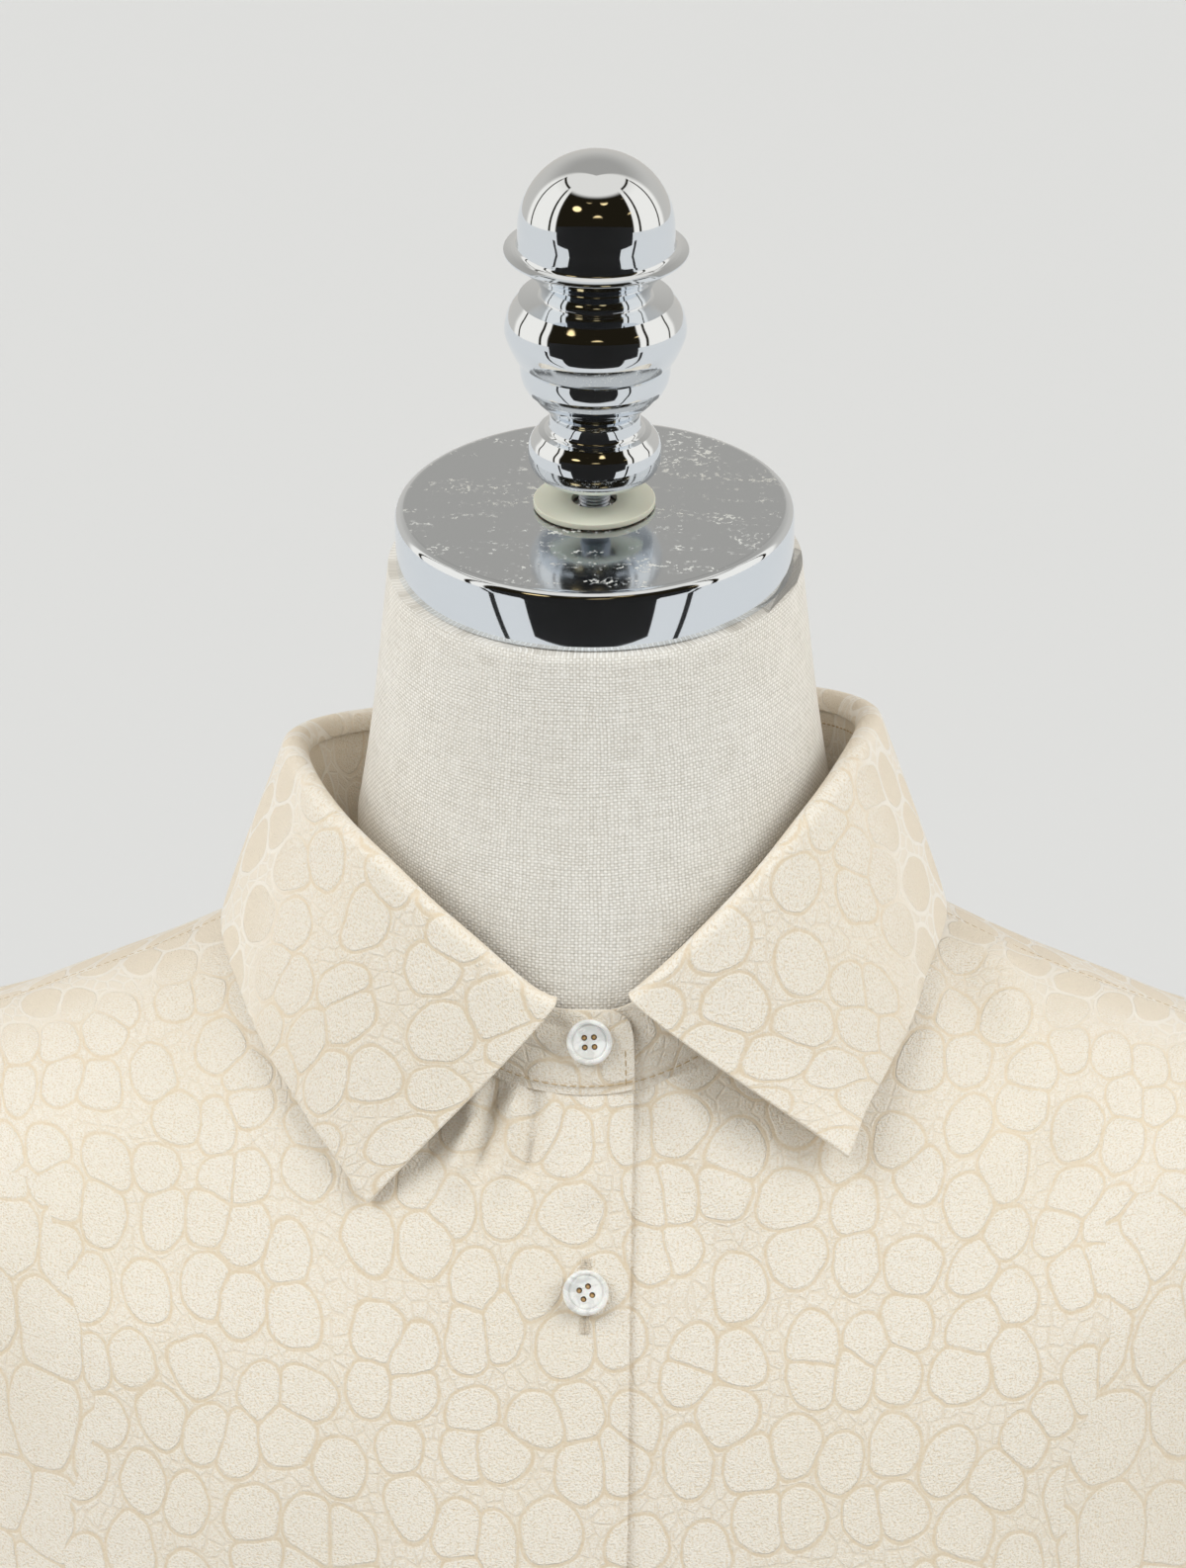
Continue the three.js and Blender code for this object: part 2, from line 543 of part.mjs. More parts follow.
// A column of the collar leaf, from the fold over the roll to the outer edge.
function leafColumn(along, left) {
  const row = lineAt(left ? LEAF_LEFT : LEAF_RIGHT, "along", along);
  const side = (degrees) => (left ? degrees * RAD : Math.PI - degrees * RAD);
  const [foldTurn, edgeTurn] = [side(row.foldAngle), side(row.edgeAngle)];
  const out = point(Math.cos(foldTurn), Math.sin(foldTurn), 0);
  const fold = standPoint(foldTurn, 1, LAYER_STEP * smooth((along - 0.7) * 4));
  const base = fold.clone().addScaledVector(out, -0.1);
  const start = base.clone().add(point(0, 0, STAND_GAP + COLLAR_WALL));
  const rise = ROLL_RISE * row.roll + COLLAR_WALL;
  const crown = start.clone().addScaledVector(out, ROLL_OUT * 0.4).add(point(0, 0, rise - COLLAR_WALL));
  const turnDown = start.clone().addScaledVector(out, ROLL_OUT).add(point(0, 0, rise - 2 * COLLAR_WALL));
  const edge = bodyPoint(edgeTurn, row.edgeRing, row.lift);
  const chord = edge.clone().sub(turnDown);
  const length = chord.length();
  const leaving = turnDown.clone().addScaledVector(chord, mix(0.3, 0.16, row.roll));
  leaving.addScaledVector(out, length * 0.06).add(point(0, 0, -0.16 * length * row.roll));
  const landing = edge.clone().addScaledVector(chord, -0.3);
  landing.addScaledVector(bodyNormal(edgeTurn, row.edgeRing), length * LEAF_BULGE);
  const hang = new THREE.CubicBezierCurve3(turnDown, leaving, landing, edge);
  const falling = LEAF_ROWS - 2;
  return [start, crown, ...Array.from({ length: falling + 1 }, (_, k) => hang.getPoint(k / falling))];
}

function addCollar() {
  const columns = Array.from({ length: LEAF_STEPS + 1 }, (_, i) => {
    const across = (2 * i) / LEAF_STEPS - 1;
    const along = Math.abs(across) ** 0.9;
    return leafColumn(along, across > 0);
  });
  const outer = columns[0].map((_, j) => columns.map((column) => column[j]));
  const inner = moved(outer, gridNormals(outer), -COLLAR_WALL);
  addMesh(blouse, "collar", wallGeometry(outer, inner), "cloth");
}

// Points of the armhole's edge on the wearer's left, from the shoulder point round by the front.
const armholeSteps = [
  ...Array.from({ length: ROWS_ARMHOLE }, (_, k) => ({ step: k, front: true })),
  ...Array.from({ length: ROWS_ARMHOLE }, (_, k) => ({ step: ROWS_ARMHOLE - k, front: false })),
];
function armholeEdge({ step, front }) {
  const angle = front ? -armholeAngle(step, ARMHOLE_FRONT) : armholeAngle(step, ARMHOLE_BACK);
  const s = armholeRing(step);
  return { place: bodyPoint(angle, s), normal: bodyNormal(angle, s) };
}

// One ring of a sleeve's plain tube at position s of its table, at a turn round it.
function sleeveRingPoint(s, turn) {
  const ring = rowAt(SLEEVE_RINGS, s);
  const out = foldsAt(SLEEVE_FOLDS, turn / RAD, s);
  const [top, low] = [point(ring.outX, ring.midY, ring.outZ), point(ring.inX, ring.midY, ring.inZ)];
  const middle = between(top, low, 0.5);
  const reach = top.clone().sub(middle);
  reach.setLength(reach.length() + out);
  return middle
    .addScaledVector(reach, Math.cos(turn))
    .add(point(0, -(ring.halfY + out * 0.5) * Math.sin(turn), 0));
}

function sleeveGrid() {
  const edges = armholeSteps.map(armholeEdge);
  const centre = point(0, 0, 0);
  edges.forEach(({ place }) => centre.addScaledVector(place, 1 / edges.length));
  const turns = armholeSteps.map(({ step, front }) => {
    const turn = armholeTurn(step);
    return front ? turn : 2 * Math.PI - turn;
  });
  const first = edges.map(({ place }) => {
    const inward = centre.clone().sub(place).setLength(SEAM_GAP * 1.7);
    return place.clone().add(inward);
  });
  const last = SLEEVE_RINGS.length - 1;
  const outer = [first];
  for (let k = 0; k <= SLEEVE_ROWS; k++) {
    const s = last * (k / SLEEVE_ROWS) ** 1.15;
    const own = 1 - smooth((s + 0.7) / SLEEVE_BLEND);
    outer.push(
      turns.map((turn, i) => {
        const plain = sleeveRingPoint(s, turn);
        const base = sleeveRingPoint(0, turn);
        return plain.addScaledVector(first[i].clone().sub(base).setX(0), own * 0.8);
      }),
    );
  }
  const normals = gridNormals(outer, true);
  normals[0] = edges.map(({ normal }) => normal.clone());
  return { outer, normals };
}

const mirrorX = (grid) => grid.map((row) => row.map((place) => place.clone().setX(-place.x)));

function addSleeves() {
  const { outer, normals } = sleeveGrid();
  const middle = outer.at(-1).reduce((sum, p) => sum.addScaledVector(p, 1 / outer[0].length), point(0, 0, 0));
  const facesOut = normals.at(-2)[0].dot(outer.at(-2)[0].clone().sub(middle)) > 0;
  for (const row of normals.slice(1)) {
    if (!facesOut) row.forEach((n) => n.negate());
  }
  const inner = moved(outer, normals, -WALL);
  addMesh(blouse, "sleeve_left", wallGeometry(outer, inner, true), "cloth");
  addMesh(blouse, "sleeve_right", wallGeometry(mirrorX(outer), mirrorX(inner), true), "cloth");
}

// A point on a cuff's outer face, down from the sleeve's end, on the wearer's left.
function cuffPoint(turn, down, lift) {
  const last = SLEEVE_RINGS.length - 1;
  const end = rowAt(SLEEVE_RINGS, last);
  const middle = point((end.outX + end.inX) / 2, end.midY, (end.outZ + end.inZ) / 2);
  const halfX = (end.outX - end.inX) / 2 + CUFF.flare * down;
  const out = point(Math.cos(turn) * halfX, -Math.sin(turn) * end.halfY, 0);
  out.setLength(out.length() + lift);
  return middle.add(out).add(point(0, 0, -1.4 - CUFF.height * down));
}

function cuffGrid(inset) {
  const start = CUFF.opening * RAD;
  const around = 2 * Math.PI + CUFF.overlap / 40;
  const spiral = (along) => CUFF.step * (1 - along) - inset;
  const columns = Array.from({ length: CUFF_STEPS + 1 }, (_, i) => i / CUFF_STEPS);
  return [0, 0.5, 1].map((down) => columns.map((along) => cuffPoint(start + around * along, down, spiral(along))));
}

function addCuffs() {
  const [outer, inner] = [cuffGrid(0), cuffGrid(CUFF.wall)];
  addMesh(blouse, "cuff_left", wallGeometry(outer, inner), "cloth");
  addMesh(blouse, "cuff_right", wallGeometry(mirrorX(outer), mirrorX(inner)), "cloth");
}

// A turned solid about Z from an outline of [radius, height] that starts and ends on the axis.
function turnedGeometry(outline, sides) {
  const profile = outline.map(([radius, height]) => new THREE.Vector2(radius, height));
  return new THREE.LatheGeometry(profile, sides).rotateX(Math.PI / 2);
}

function buttonGeometry() {
  const { radius, thick, rim, dish } = BUTTON;
  const outline = [
    [0, 0],
    [radius * 0.8, 0],
    [radius, thick * 0.45],
    [radius - rim * 0.4, thick],
    [radius - rim, thick],
    [radius - rim * 1.8, thick - dish],
    [0, thick - dish],
  ];
  return turnedGeometry(outline, BUTTON_SIDES);
}

function addButton(name, place, normal) {
  const mesh = addMesh(blouse, name, buttonGeometry(), "pearl");
  mesh.position.copy(place).addScaledVector(normal, BUTTON.standOff);
  mesh.quaternion.setFromUnitVectors(point(0, 0, 1), normal);
}

function addButtons() {
  const front = angleAtX(BODY_RINGS[0].closing, 0);
  const standFace = standPoint(front, STAND_BUTTON_RISE, LAYER_STEP);
  const upFace = standPoint(front, STAND_BUTTON_RISE + 0.2, LAYER_STEP).sub(standFace);
  addButton("button_stand", standFace, point(1, 0, 0).cross(upFace).normalize());
  FRONT_BUTTON_HEIGHTS.forEach((height, k) => {
    let [low, high] = [0, HEM];
    for (let n = 0; n < 30; n++) {
      const middle = (low + high) / 2;
      if (bodyPoint(front, middle).z > height) low = middle;
      else high = middle;
    }
    const turn = angleAtX(rowAt(BODY_RINGS, low).closing, low);
    addButton(`button_front_${k + 1}`, bodyPoint(turn, low, LAYER_STEP), bodyNormal(turn, low));
  });
  const turn = CUFF.opening * RAD + 0.16;
  const place = cuffPoint(turn, 0.5, CUFF.step);
  const across = cuffPoint(turn + 0.05, 0.5, CUFF.step).sub(cuffPoint(turn - 0.05, 0.5, CUFF.step));
  const normal = point(0, 0, 1).cross(across).normalize();
  addButton("button_cuff_left", place, normal);
  const mirrored = (v) => v.clone().setX(-v.x);
  addButton("button_cuff_right", mirrored(place), mirrored(normal));
}

function formPoint(angle, s) {
  const ring = rowAt(FORM_RINGS, s);
  const [c, n] = [Math.cos(angle), Math.sin(angle)];
  const [depth, drop] = n < 0 ? [ring.front, ring.frontDrop] : [ring.back, ring.backDrop];
  return point(ring.half * c, ring.y + depth * n, ring.z - drop * Math.abs(n) ** ring.power);
}

const form = new THREE.Group();

function addFormTorso() {
  const last = FORM_RINGS.length - 1;
  const rings = Array.from({ length: FORM_ROWS + 1 }, (_, j) =>
    Array.from({ length: FORM_COLUMNS }, (_, i) =>
      formPoint((2 * Math.PI * i) / FORM_COLUMNS, (last * j) / FORM_ROWS),
    ),
  );
  addMesh(form, "form_torso", loftGeometry(rings), "linen");
}

// Everything above the neck's cut stands on one tilted axis.
function addNeckPieces() {
  const top = FORM_RINGS[0];
  const neck = new THREE.Group();
  neck.position.set(0, top.y, top.z);
  neck.rotation.x = NECK_TILT * RAD;
  form.add(neck);
  const { radius, height, round } = CAP;
  const capOutline = [
    [0, 0],
    [radius - 0.6, 0],
    [radius, 0.6],
    [radius, height - round],
    [radius - round * 0.3, height - round * 0.3],
    [radius - round, height],
    [0, height],
  ];
  const cap = addMesh(neck, "neck_cap", turnedGeometry(capOutline, TURNED_SIDES), "chrome");
  cap.position.z = FIT_GAP;
  const washerOutline = [
    [WASHER.bore, 0],
    [WASHER.radius, 0],
    [WASHER.radius, WASHER.height],
    [WASHER.bore, WASHER.height],
    [WASHER.bore, 0],
  ];
  const finialAxis = new THREE.Group();
  finialAxis.position.z = cap.position.z + CAP.height;
  finialAxis.rotation.y = FINIAL_LEAN * RAD;
  neck.add(finialAxis);
  const washer = addMesh(neck, "finial_washer", turnedGeometry(washerOutline, TURNED_SIDES), "nylon");
  washer.position.z = cap.position.z + CAP.height + FIT_GAP;
  const studOutline = [
    [0, 0],
    [STUD.radius, 0],
    [STUD.radius, FINIAL_LIFT - 3 * FIT_GAP],
    [0, FINIAL_LIFT - 3 * FIT_GAP],
  ];
  const stud = addMesh(finialAxis, "finial_stud", turnedGeometry(studOutline, 16), "chrome");
  stud.position.z = FIT_GAP * 1.5;
  const ball = Array.from({ length: BALL_STEPS }, (_, k) => {
    const turn = (Math.PI * k) / BALL_STEPS / 2;
    return [BALL.radius * Math.cos(turn), BALL.centre + BALL.radius * Math.sin(turn)];
  });
  const lathed = FINIAL_PROFILE.map((row) => [row.radius, row.height]);
  const finialOutline = [[0, 0], ...lathed, ...ball, [0, BALL.centre + BALL.radius]];
  const finial = addMesh(finialAxis, "finial", turnedGeometry(finialOutline, FINIAL_SIDES), "chrome");
  finial.position.z = FINIAL_LIFT;
}

function addStand() {
  const bottom = FORM_RINGS.at(-1).z;
  const baseOutline = [
    [0, 0],
    [BASE.radius - 2, 0],
    [BASE.radius, 2],
    [BASE.radius - 3, 7],
    [BASE.radius * 0.55, BASE.height],
    [BASE.hub + 6, BASE.height + 2],
    [BASE.hub, BASE.height + 8],
    [BASE.hub - 3, BASE.hubHeight],
    [0, BASE.hubHeight],
  ];
  addMesh(form, "base", turnedGeometry(baseOutline, TURNED_SIDES), "chrome");
  const poleLow = BASE.hubHeight + FIT_GAP;
  const poleHigh = bottom - SOCKET.height - 2 * FIT_GAP;
  const poleOutline = [
    [0, poleLow],
    [POLE.radius, poleLow],
    [POLE.radius, poleHigh],
    [0, poleHigh],
  ];
  addMesh(form, "pole", turnedGeometry(poleOutline, TURNED_SIDES), "chrome");
  const socketOutline = [
    [0, poleHigh + FIT_GAP],
    [SOCKET.neck, poleHigh + FIT_GAP],
    [SOCKET.neck + 2, bottom - SOCKET.plate - 6],
    [SOCKET.radius, bottom - SOCKET.plate],
    [SOCKET.radius, bottom - FIT_GAP],
    [0, bottom - FIT_GAP],
  ];
  addMesh(form, "socket", turnedGeometry(socketOutline, TURNED_SIDES), "chrome");
}

addFronts();
addYokeAndBack();
addCollarStand();
addCollar();
addSleeves();
addCuffs();
addButtons();
addFormTorso();
addNeckPieces();
addStand();

const part = new THREE.Group();
part.add(form, blouse);
export default part;
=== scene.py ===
"""A cream satin blouse with a tonal jacquard of scales, on a linen dress form with a chrome stand.

Tables and lengths are in millimetres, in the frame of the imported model: +Z up, the floor at Z = 0,
the blouse's front towards -Y and the wearer's left at +X. Meshes are made in metres.
"""

import math

import bmesh
import bpy
import numpy as np
from mathutils import Matrix, Vector


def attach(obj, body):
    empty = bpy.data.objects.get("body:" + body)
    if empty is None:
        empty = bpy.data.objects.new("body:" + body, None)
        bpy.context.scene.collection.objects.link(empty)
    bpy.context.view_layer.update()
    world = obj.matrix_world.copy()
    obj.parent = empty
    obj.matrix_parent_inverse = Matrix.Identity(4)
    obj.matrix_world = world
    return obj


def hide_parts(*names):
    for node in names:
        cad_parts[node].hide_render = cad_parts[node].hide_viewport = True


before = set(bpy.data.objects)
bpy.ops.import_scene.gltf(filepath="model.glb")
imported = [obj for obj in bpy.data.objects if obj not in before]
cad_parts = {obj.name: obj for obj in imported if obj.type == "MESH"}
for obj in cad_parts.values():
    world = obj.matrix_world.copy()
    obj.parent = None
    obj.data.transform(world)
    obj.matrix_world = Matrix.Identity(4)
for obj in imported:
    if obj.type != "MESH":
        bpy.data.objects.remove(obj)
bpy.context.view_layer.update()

bl_info = {
    "name": "Blouse on a dress form",
    "version": (1, 0, 0),
    "blender": (4, 2, 0),
    "location": "View3D > Sidebar > Blouse",
    "description": "Builds a satin blouse, its buttons and sewing, and the dress form that wears it",
    "category": "Add Mesh",
}

MM = 0.001


def srgb(red, green, blue):
    """A colour given in 0 to 255 as linear values."""
    parts = [value / 255 for value in (red, green, blue)]
    return tuple(v / 12.92 if v <= 0.04045 else ((v + 0.055) / 1.055) ** 2.4 for v in parts)


class BLOUSE_PG_cloth(bpy.types.PropertyGroup):
    """Sizes and colours of the satin."""

    wall: bpy.props.FloatProperty(
        name="Wall", description="Thickness of the body cloth", default=1.1 * MM, unit="LENGTH")
    collar_wall: bpy.props.FloatProperty(
        name="Collar wall", description="Thickness of the collar", default=1.3 * MM, unit="LENGTH")
    scale_colour: bpy.props.FloatVectorProperty(
        name="Scales", description="Colour of the matt scales", default=srgb(240, 232, 219),
        subtype="COLOR", min=0, max=1)
    line_colour: bpy.props.FloatVectorProperty(
        name="Lines", description="Colour of the satin between the scales", default=srgb(222, 203, 174),
        subtype="COLOR", min=0, max=1)
    thread_colour: bpy.props.FloatVectorProperty(
        name="Thread", description="Colour of the sewing thread", default=srgb(205, 180, 141),
        subtype="COLOR", min=0, max=1)


class BLOUSE_PG_form(bpy.types.PropertyGroup):
    """Colours of the dress form and its stand."""

    linen_colour: bpy.props.FloatVectorProperty(
        name="Linen", description="Colour of the form's cover", default=srgb(250, 246, 239),
        subtype="COLOR", min=0, max=1)
    chrome_colour: bpy.props.FloatVectorProperty(
        name="Chrome", description="Colour of the plated metal", default=(0.81, 0.86, 0.92),
        subtype="COLOR", min=0, max=1)
    nylon_colour: bpy.props.FloatVectorProperty(
        name="Washer", description="Colour of the washer", default=srgb(222, 221, 203),
        subtype="COLOR", min=0, max=1)


class BLOUSE_PG_button(bpy.types.PropertyGroup):
    """Sizes of the buttons."""

    radius: bpy.props.FloatProperty(
        name="Radius", description="Radius of a button", default=5.7 * MM, unit="LENGTH")
    thick: bpy.props.FloatProperty(
        name="Thickness", description="Thickness of a button", default=2.5 * MM, unit="LENGTH")
    hole: bpy.props.FloatProperty(
        name="Hole", description="Radius of each sewing hole", default=0.75 * MM, unit="LENGTH")


class BLOUSE_PG_stage(bpy.types.PropertyGroup):
    """The floor, the lights and the surroundings."""

    floor_colour: bpy.props.FloatVectorProperty(
        name="Floor", description="Colour of the floor", default=(0.655, 0.655, 0.655),
        subtype="COLOR", min=0, max=1)
    sky: bpy.props.FloatProperty(
        name="Sky", description="Strength of the surrounding light", default=1.0, min=0)
    sun: bpy.props.FloatProperty(
        name="Soft light", description="Strength of the large soft light", default=1.85, min=0)


def table(names, *rows):
    """Columns by name: the first string names them, and each tuple is a row."""
    values = np.array(rows, float)
    return {name: values[:, k] for k, name in enumerate(names.split())}


# Rings of the blouse's body, from the neck seam down to the hem
BODY_RINGS = table(
    "z half front back front_drop back_drop square closing",
    (960, 70, 70, 62, 38, 3, 2.0, 1.5),
    (940, 110, 84, 78, 47, 5, 2.0, 1.5),
    (924.5, 150, 97, 93, 62.5, 18.5, 2.05, 1.6),
    (908, 189, 109, 103, 84, 46, 2.1, 1.8),
    (852, 195, 119, 109, 70, 42, 2.2, 0.6),
    (790, 193, 127, 111, 38, 20, 2.25, -1.6),
    (738, 189, 131, 111, 14, 6, 2.25, -2.4),
    (655, 184, 130, 109, 2, 0, 2.2, -2),
    (570, 181, 127, 108, 0, 0, 2.15, -1),
    (485, 183, 126, 111, 0, 0, 2.1, 0),
    (405, 188, 129, 117, 6, 8, 2.1, 0),
    (335, 193, 133, 123, 30, 36, 2.1, 0),
)
SHOULDER = 3
UNDERARM = 6
HEM = 11

# Soft folds: at is degrees round from the wearer's left, width the spread, and start and end are rings
BODY_FOLDS = table(
    "at width start end depth",
    (-68, 8, 6.4, 11.6, 6),
    (-38, 10, 6.0, 11.6, 8),
    (-14, 8, 6.6, 11.6, -6),
    (18, 10, 6.3, 11.6, 8),
    (47, 9, 5.4, 11.6, 6),
    (74, 9, 6.8, 11.6, -7),
    (101, 9, 5.6, 11.6, 7),
    (129, 10, 6.5, 11.6, 6),
    (160, 9, 6.1, 11.6, 8),
    (195, 8, 6.6, 11.6, -6),
    (219, 10, 6.1, 11.6, 8),
    (247, 8, 6.7, 11.6, 6),
)

SEAM_GAP = 0.34
LAYER_STEP = 1.8
LAYER_FULL = 28
LAYER_FADE = 42
OVERLAP_UPPER = 11
OVERLAP_LOWER = 12
ARMHOLE_FRONT = 27
ARMHOLE_BACK = 24
ARMHOLE_SHAPE = 0.72
YOKE_SEAM_Z = 868
YOKE_SEAM_STEP = 0.3

# The collar stand round from the front: its height over the neck seam and its lean outwards
STAND_SHAPE = table(
    "at height lean",
    (-270, 30, 2),
    (-225, 27, 4),
    (-195, 29, 6),
    (-180, 30, 6.5),
    (-150, 32, 5),
    (-132, 33, 2.5),
    (-113, 28, -1.5),
    (-97, 18.6, -4),
    (-90, 20.6, -4.5),
    (-83, 18.6, -4),
    (-62, 31, -2),
    (-41, 38, -1),
    (-20, 38.6, -1.4),
    (0, 37, -1.4),
    (45, 34.5, 0.5),
    (90, 30, 2),
)
STAND_GAP = 0.5

# The collar leaf on each side: along is 0 at the centre back and 1 at the front corner
LEAF = {
    "right": table(
        "along fold edge ring lift roll",
        (0, 90, 90, 0.52, 2.4, 1),
        (0.3, 40, 42, 0.53, 2.4, 1),
        (0.5, 4, 6, 0.585, 2.4, 1),
        (0.66, -26, -26, 0.68, 2.4, 1),
        (0.8, -52, -46, 0.88, 2.3, 0.9),
        (0.91, -70, -57, 1.06, 2.3, 0.6),
        (1, -84, -64.2, 1.25, 2.3, 0.15),
    ),
    "left": table(
        "along fold edge ring lift roll",
        (0, 90, 90, 0.52, 2.4, 1),
        (0.3, 40, 42, 0.46, 2.4, 1),
        (0.5, 4, 6, 0.42, 2.6, 1),
        (0.66, -26, -24, 0.52, 3.2, 1),
        (0.8, -52, -41, 0.74, 4.5, 0.9),
        (0.91, -70, -50, 0.9, 6, 0.6),
        (1, -80, -56, 1.12, 8, 0.15),
    ),
}
ROLL_RISE = 2.6
ROLL_OUT = 3.4
LEAF_BULGE = 0.03

# Sleeve rings below the armhole: the outer line, the inner line, the half width and its middle
SLEEVE_RINGS = table(
    "out_x out_z in_x in_z half_y mid_y",
    (206, 903, 196, 740, 78, 2),
    (226, 887, 202, 730, 82, 3),
    (241, 856, 206, 709, 84, 3),
    (251, 812, 209, 678, 83, 2),
    (257, 752, 211, 640, 80, 0),
    (261, 684, 214, 596, 77, -3),
    (263, 612, 216, 550, 74, -7),
    (263, 542, 217, 502, 70, -11),
    (262, 476, 217, 454, 66, -15),
    (260, 416, 217, 408, 60, -18),
    (258, 386, 218, 384, 51, -20),
)
SLEEVE_END = 10
SLEEVE_BLEND = 3
SLEEVE_FOLDS = table(
    "at width start end depth",
    (40, 24, 2, 7, 4),
    (105, 22, 4, 10, 5),
    (175, 26, 3.4, 9, -5),
    (250, 22, 4.6, 10, 5),
    (315, 24, 1.6, 8, 4),
)
CUFF = {
    "height": 56, "wall": 1.5, "flare": 1.5, "overlap": 14, "step": 2, "opening": 290, "button_turn": 0.16}

STAND_BUTTON_RISE = 0.61
FRONT_BUTTON_HEIGHTS = (877, 797, 719, 639, 559, 479, 400)

# The dress form, from the neck's cut down
FORM_RINGS = table(
    "z half front back front_drop back_drop y power",
    (1043.8, 52.5, 50.9, 50.9, 12.9, -12.9, -8, 1),
    (1008, 56.5, 54.5, 55, 9, -10, -5, 1.2),
    (980, 61, 60, 56, 12, -4, -2, 1.6),
    (960, 66, 65, 57.5, 30, 2, 0, 2),
    (937.1, 109.5, 78, 73, 51, 7, 0, 2),
    (921.6, 149.5, 88, 86, 68.5, 22.5, 0, 2),
    (902, 174, 97, 95, 86, 48, 0, 2),
    (850, 170, 106, 98, 70, 42, 0, 2),
    (790, 158, 117, 98, 38, 20, 0, 2),
    (730, 153, 122, 95, 10, 4, 0, 2),
    (650, 138, 103, 88, 0, 0, 0, 2),
    (570, 124, 90, 80, 0, 0, 0, 2),
    (490, 140, 96, 92, 0, 0, 0, 2),
    (400, 166, 104, 104, 0, 0, 0, 2),
    (320, 168, 103, 104, 0, 0, 0, 2),
    (250, 158, 96, 98, 0, 0, 0, 2),
)
FORM_BOTTOM = 250

NECK_TILT = 14.2
FINIAL_LEAN = 1
FIT_GAP = 0.3
CAP_HEIGHT = 15.5
CAP_RADIUS = 50.4
FINIAL_LIFT = 8.8


def smooth(share):
    t = np.clip(share, 0, 1)
    return t * t * (3 - 2 * t)


def mix(low, high, share):
    return low + (high - low) * share


def signed_power(value, power):
    return np.sign(value) * np.abs(value) ** power


def unit(vectors):
    length = np.linalg.norm(vectors, axis=-1, keepdims=True)
    return vectors / np.maximum(length, 1e-9)


def stack(x, y, z):
    return np.stack(np.broadcast_arrays(x, y, z), axis=-1)


def row_at(rows, s):
    """A smooth row of a table at position s, which counts its rows from 0."""
    s = np.asarray(s, float)
    last = len(next(iter(rows.values()))) - 1
    k = np.clip(np.floor(s).astype(int), 0, last - 1)
    f = s - k
    found = {}
    for name, column in rows.items():
        b, c = column[k], column[k + 1]
        before = np.where(k > 0, column[np.maximum(k - 1, 0)], 2 * b - c)
        after = np.where(k + 1 < last, column[np.minimum(k + 2, last)], 2 * c - b)
        slope_b, slope_c = (c - before) / 2, (after - b) / 2
        found[name] = (
            (2 * f**3 - 3 * f**2 + 1) * b
            + (f**3 - 2 * f**2 + f) * slope_b
            + (3 * f**2 - 2 * f**3) * c
            + (f**3 - f**2) * slope_c
        )
    return found


def line_at(rows, key, position, spread):
    """A row of a table whose key column is a position: straight between its rows, eased over a spread."""
    at = rows[key]
    found = {name: 0.0 for name in rows}
    offsets = np.linspace(-spread, spread, 7)
    for offset in offsets:
        k = np.clip(np.searchsorted(at, position + offset, side="right") - 1, 0, len(at) - 2)
        f = (position + offset - at[k]) / (at[k + 1] - at[k])
        for name, column in rows.items():
            found[name] = found[name] + mix(column[k], column[k + 1], f) / len(offsets)
    return found


def turn_between(degrees, at):
    """The shorter way round from one angle to another."""
    return (degrees - at + 180) % 360 - 180


def folds_at(folds, degrees, s):
    depth = np.zeros(np.broadcast(degrees, s).shape)
    for at, width, start, end, height in zip(*folds.values()):
        along = smooth((s - start) / 3) * smooth((end - s) / 0.6 + 0.4)
        depth = depth + height * np.exp(-((turn_between(degrees, at) / width) ** 2)) * along
    return depth


def front_or_back(ring, n):
    """A ring's depth and drop on the front where n is below 0, and on the back elsewhere."""
    return (np.where(n < 0, ring[f"front{part}"], ring[f"back{part}"]) for part in ("", "_drop"))


def body_face(angle, s):
    """The blouse body's outer surface at an angle in radians and a ring."""
    ring = row_at(BODY_RINGS, s)
    c, n = np.cos(angle), np.sin(angle)
    depth, drop = front_or_back(ring, n)
    out = folds_at(BODY_FOLDS, np.degrees(angle), s)
    power = 2 / ring["square"]
    return stack(
        (ring["half"] + out) * signed_power(c, power),
        (depth + out) * signed_power(n, power),
        ring["z"] - drop * n * n,
    )


def body_normal(angle, s):
    across = body_face(angle + 0.01, s) - body_face(angle - 0.01, s)
    down = body_face(angle, s + 0.02) - body_face(angle, np.maximum(s - 0.02, 0))
    return unit(np.cross(down, across))


def body_point(angle, s, lift=0.0):
    angle, s, lift = np.broadcast_arrays(angle, s, lift)
    return body_face(angle, s) + body_normal(angle, s) * lift[..., None]


def angle_at_x(x, s):
    ring = row_at(BODY_RINGS, s)
    return -np.arccos(np.clip(signed_power(x / ring["half"], ring["square"] / 2), -1, 1))


def angle_at_y(y, s):
    ring = row_at(BODY_RINGS, s)
    return np.arcsin(signed_power(abs(y) / ring["front"], ring["square"] / 2))


def ring_at_height(angle, height, low, high):
    """The ring between two others where the body's surface passes a height, found by halving."""
    low, high = np.full(angle.shape, float(low)), np.full(angle.shape, float(high))
    for _ in range(30):
        middle = (low + high) / 2
        above = body_face(angle, middle)[..., 2] > height
        low, high = np.where(above, middle, low), np.where(above, high, middle)
    return low


def armhole_ring(share):
    return SHOULDER + (UNDERARM - SHOULDER) * (1 - np.cos(np.pi * share)) / 2


def armhole_angle(share, reach):
    return math.radians(reach) * np.maximum(np.sin(np.pi * share), 0) ** ARMHOLE_SHAPE


def layer_lift(x):
    return LAYER_STEP * smooth((x + LAYER_FULL + LAYER_FADE) / LAYER_FADE)


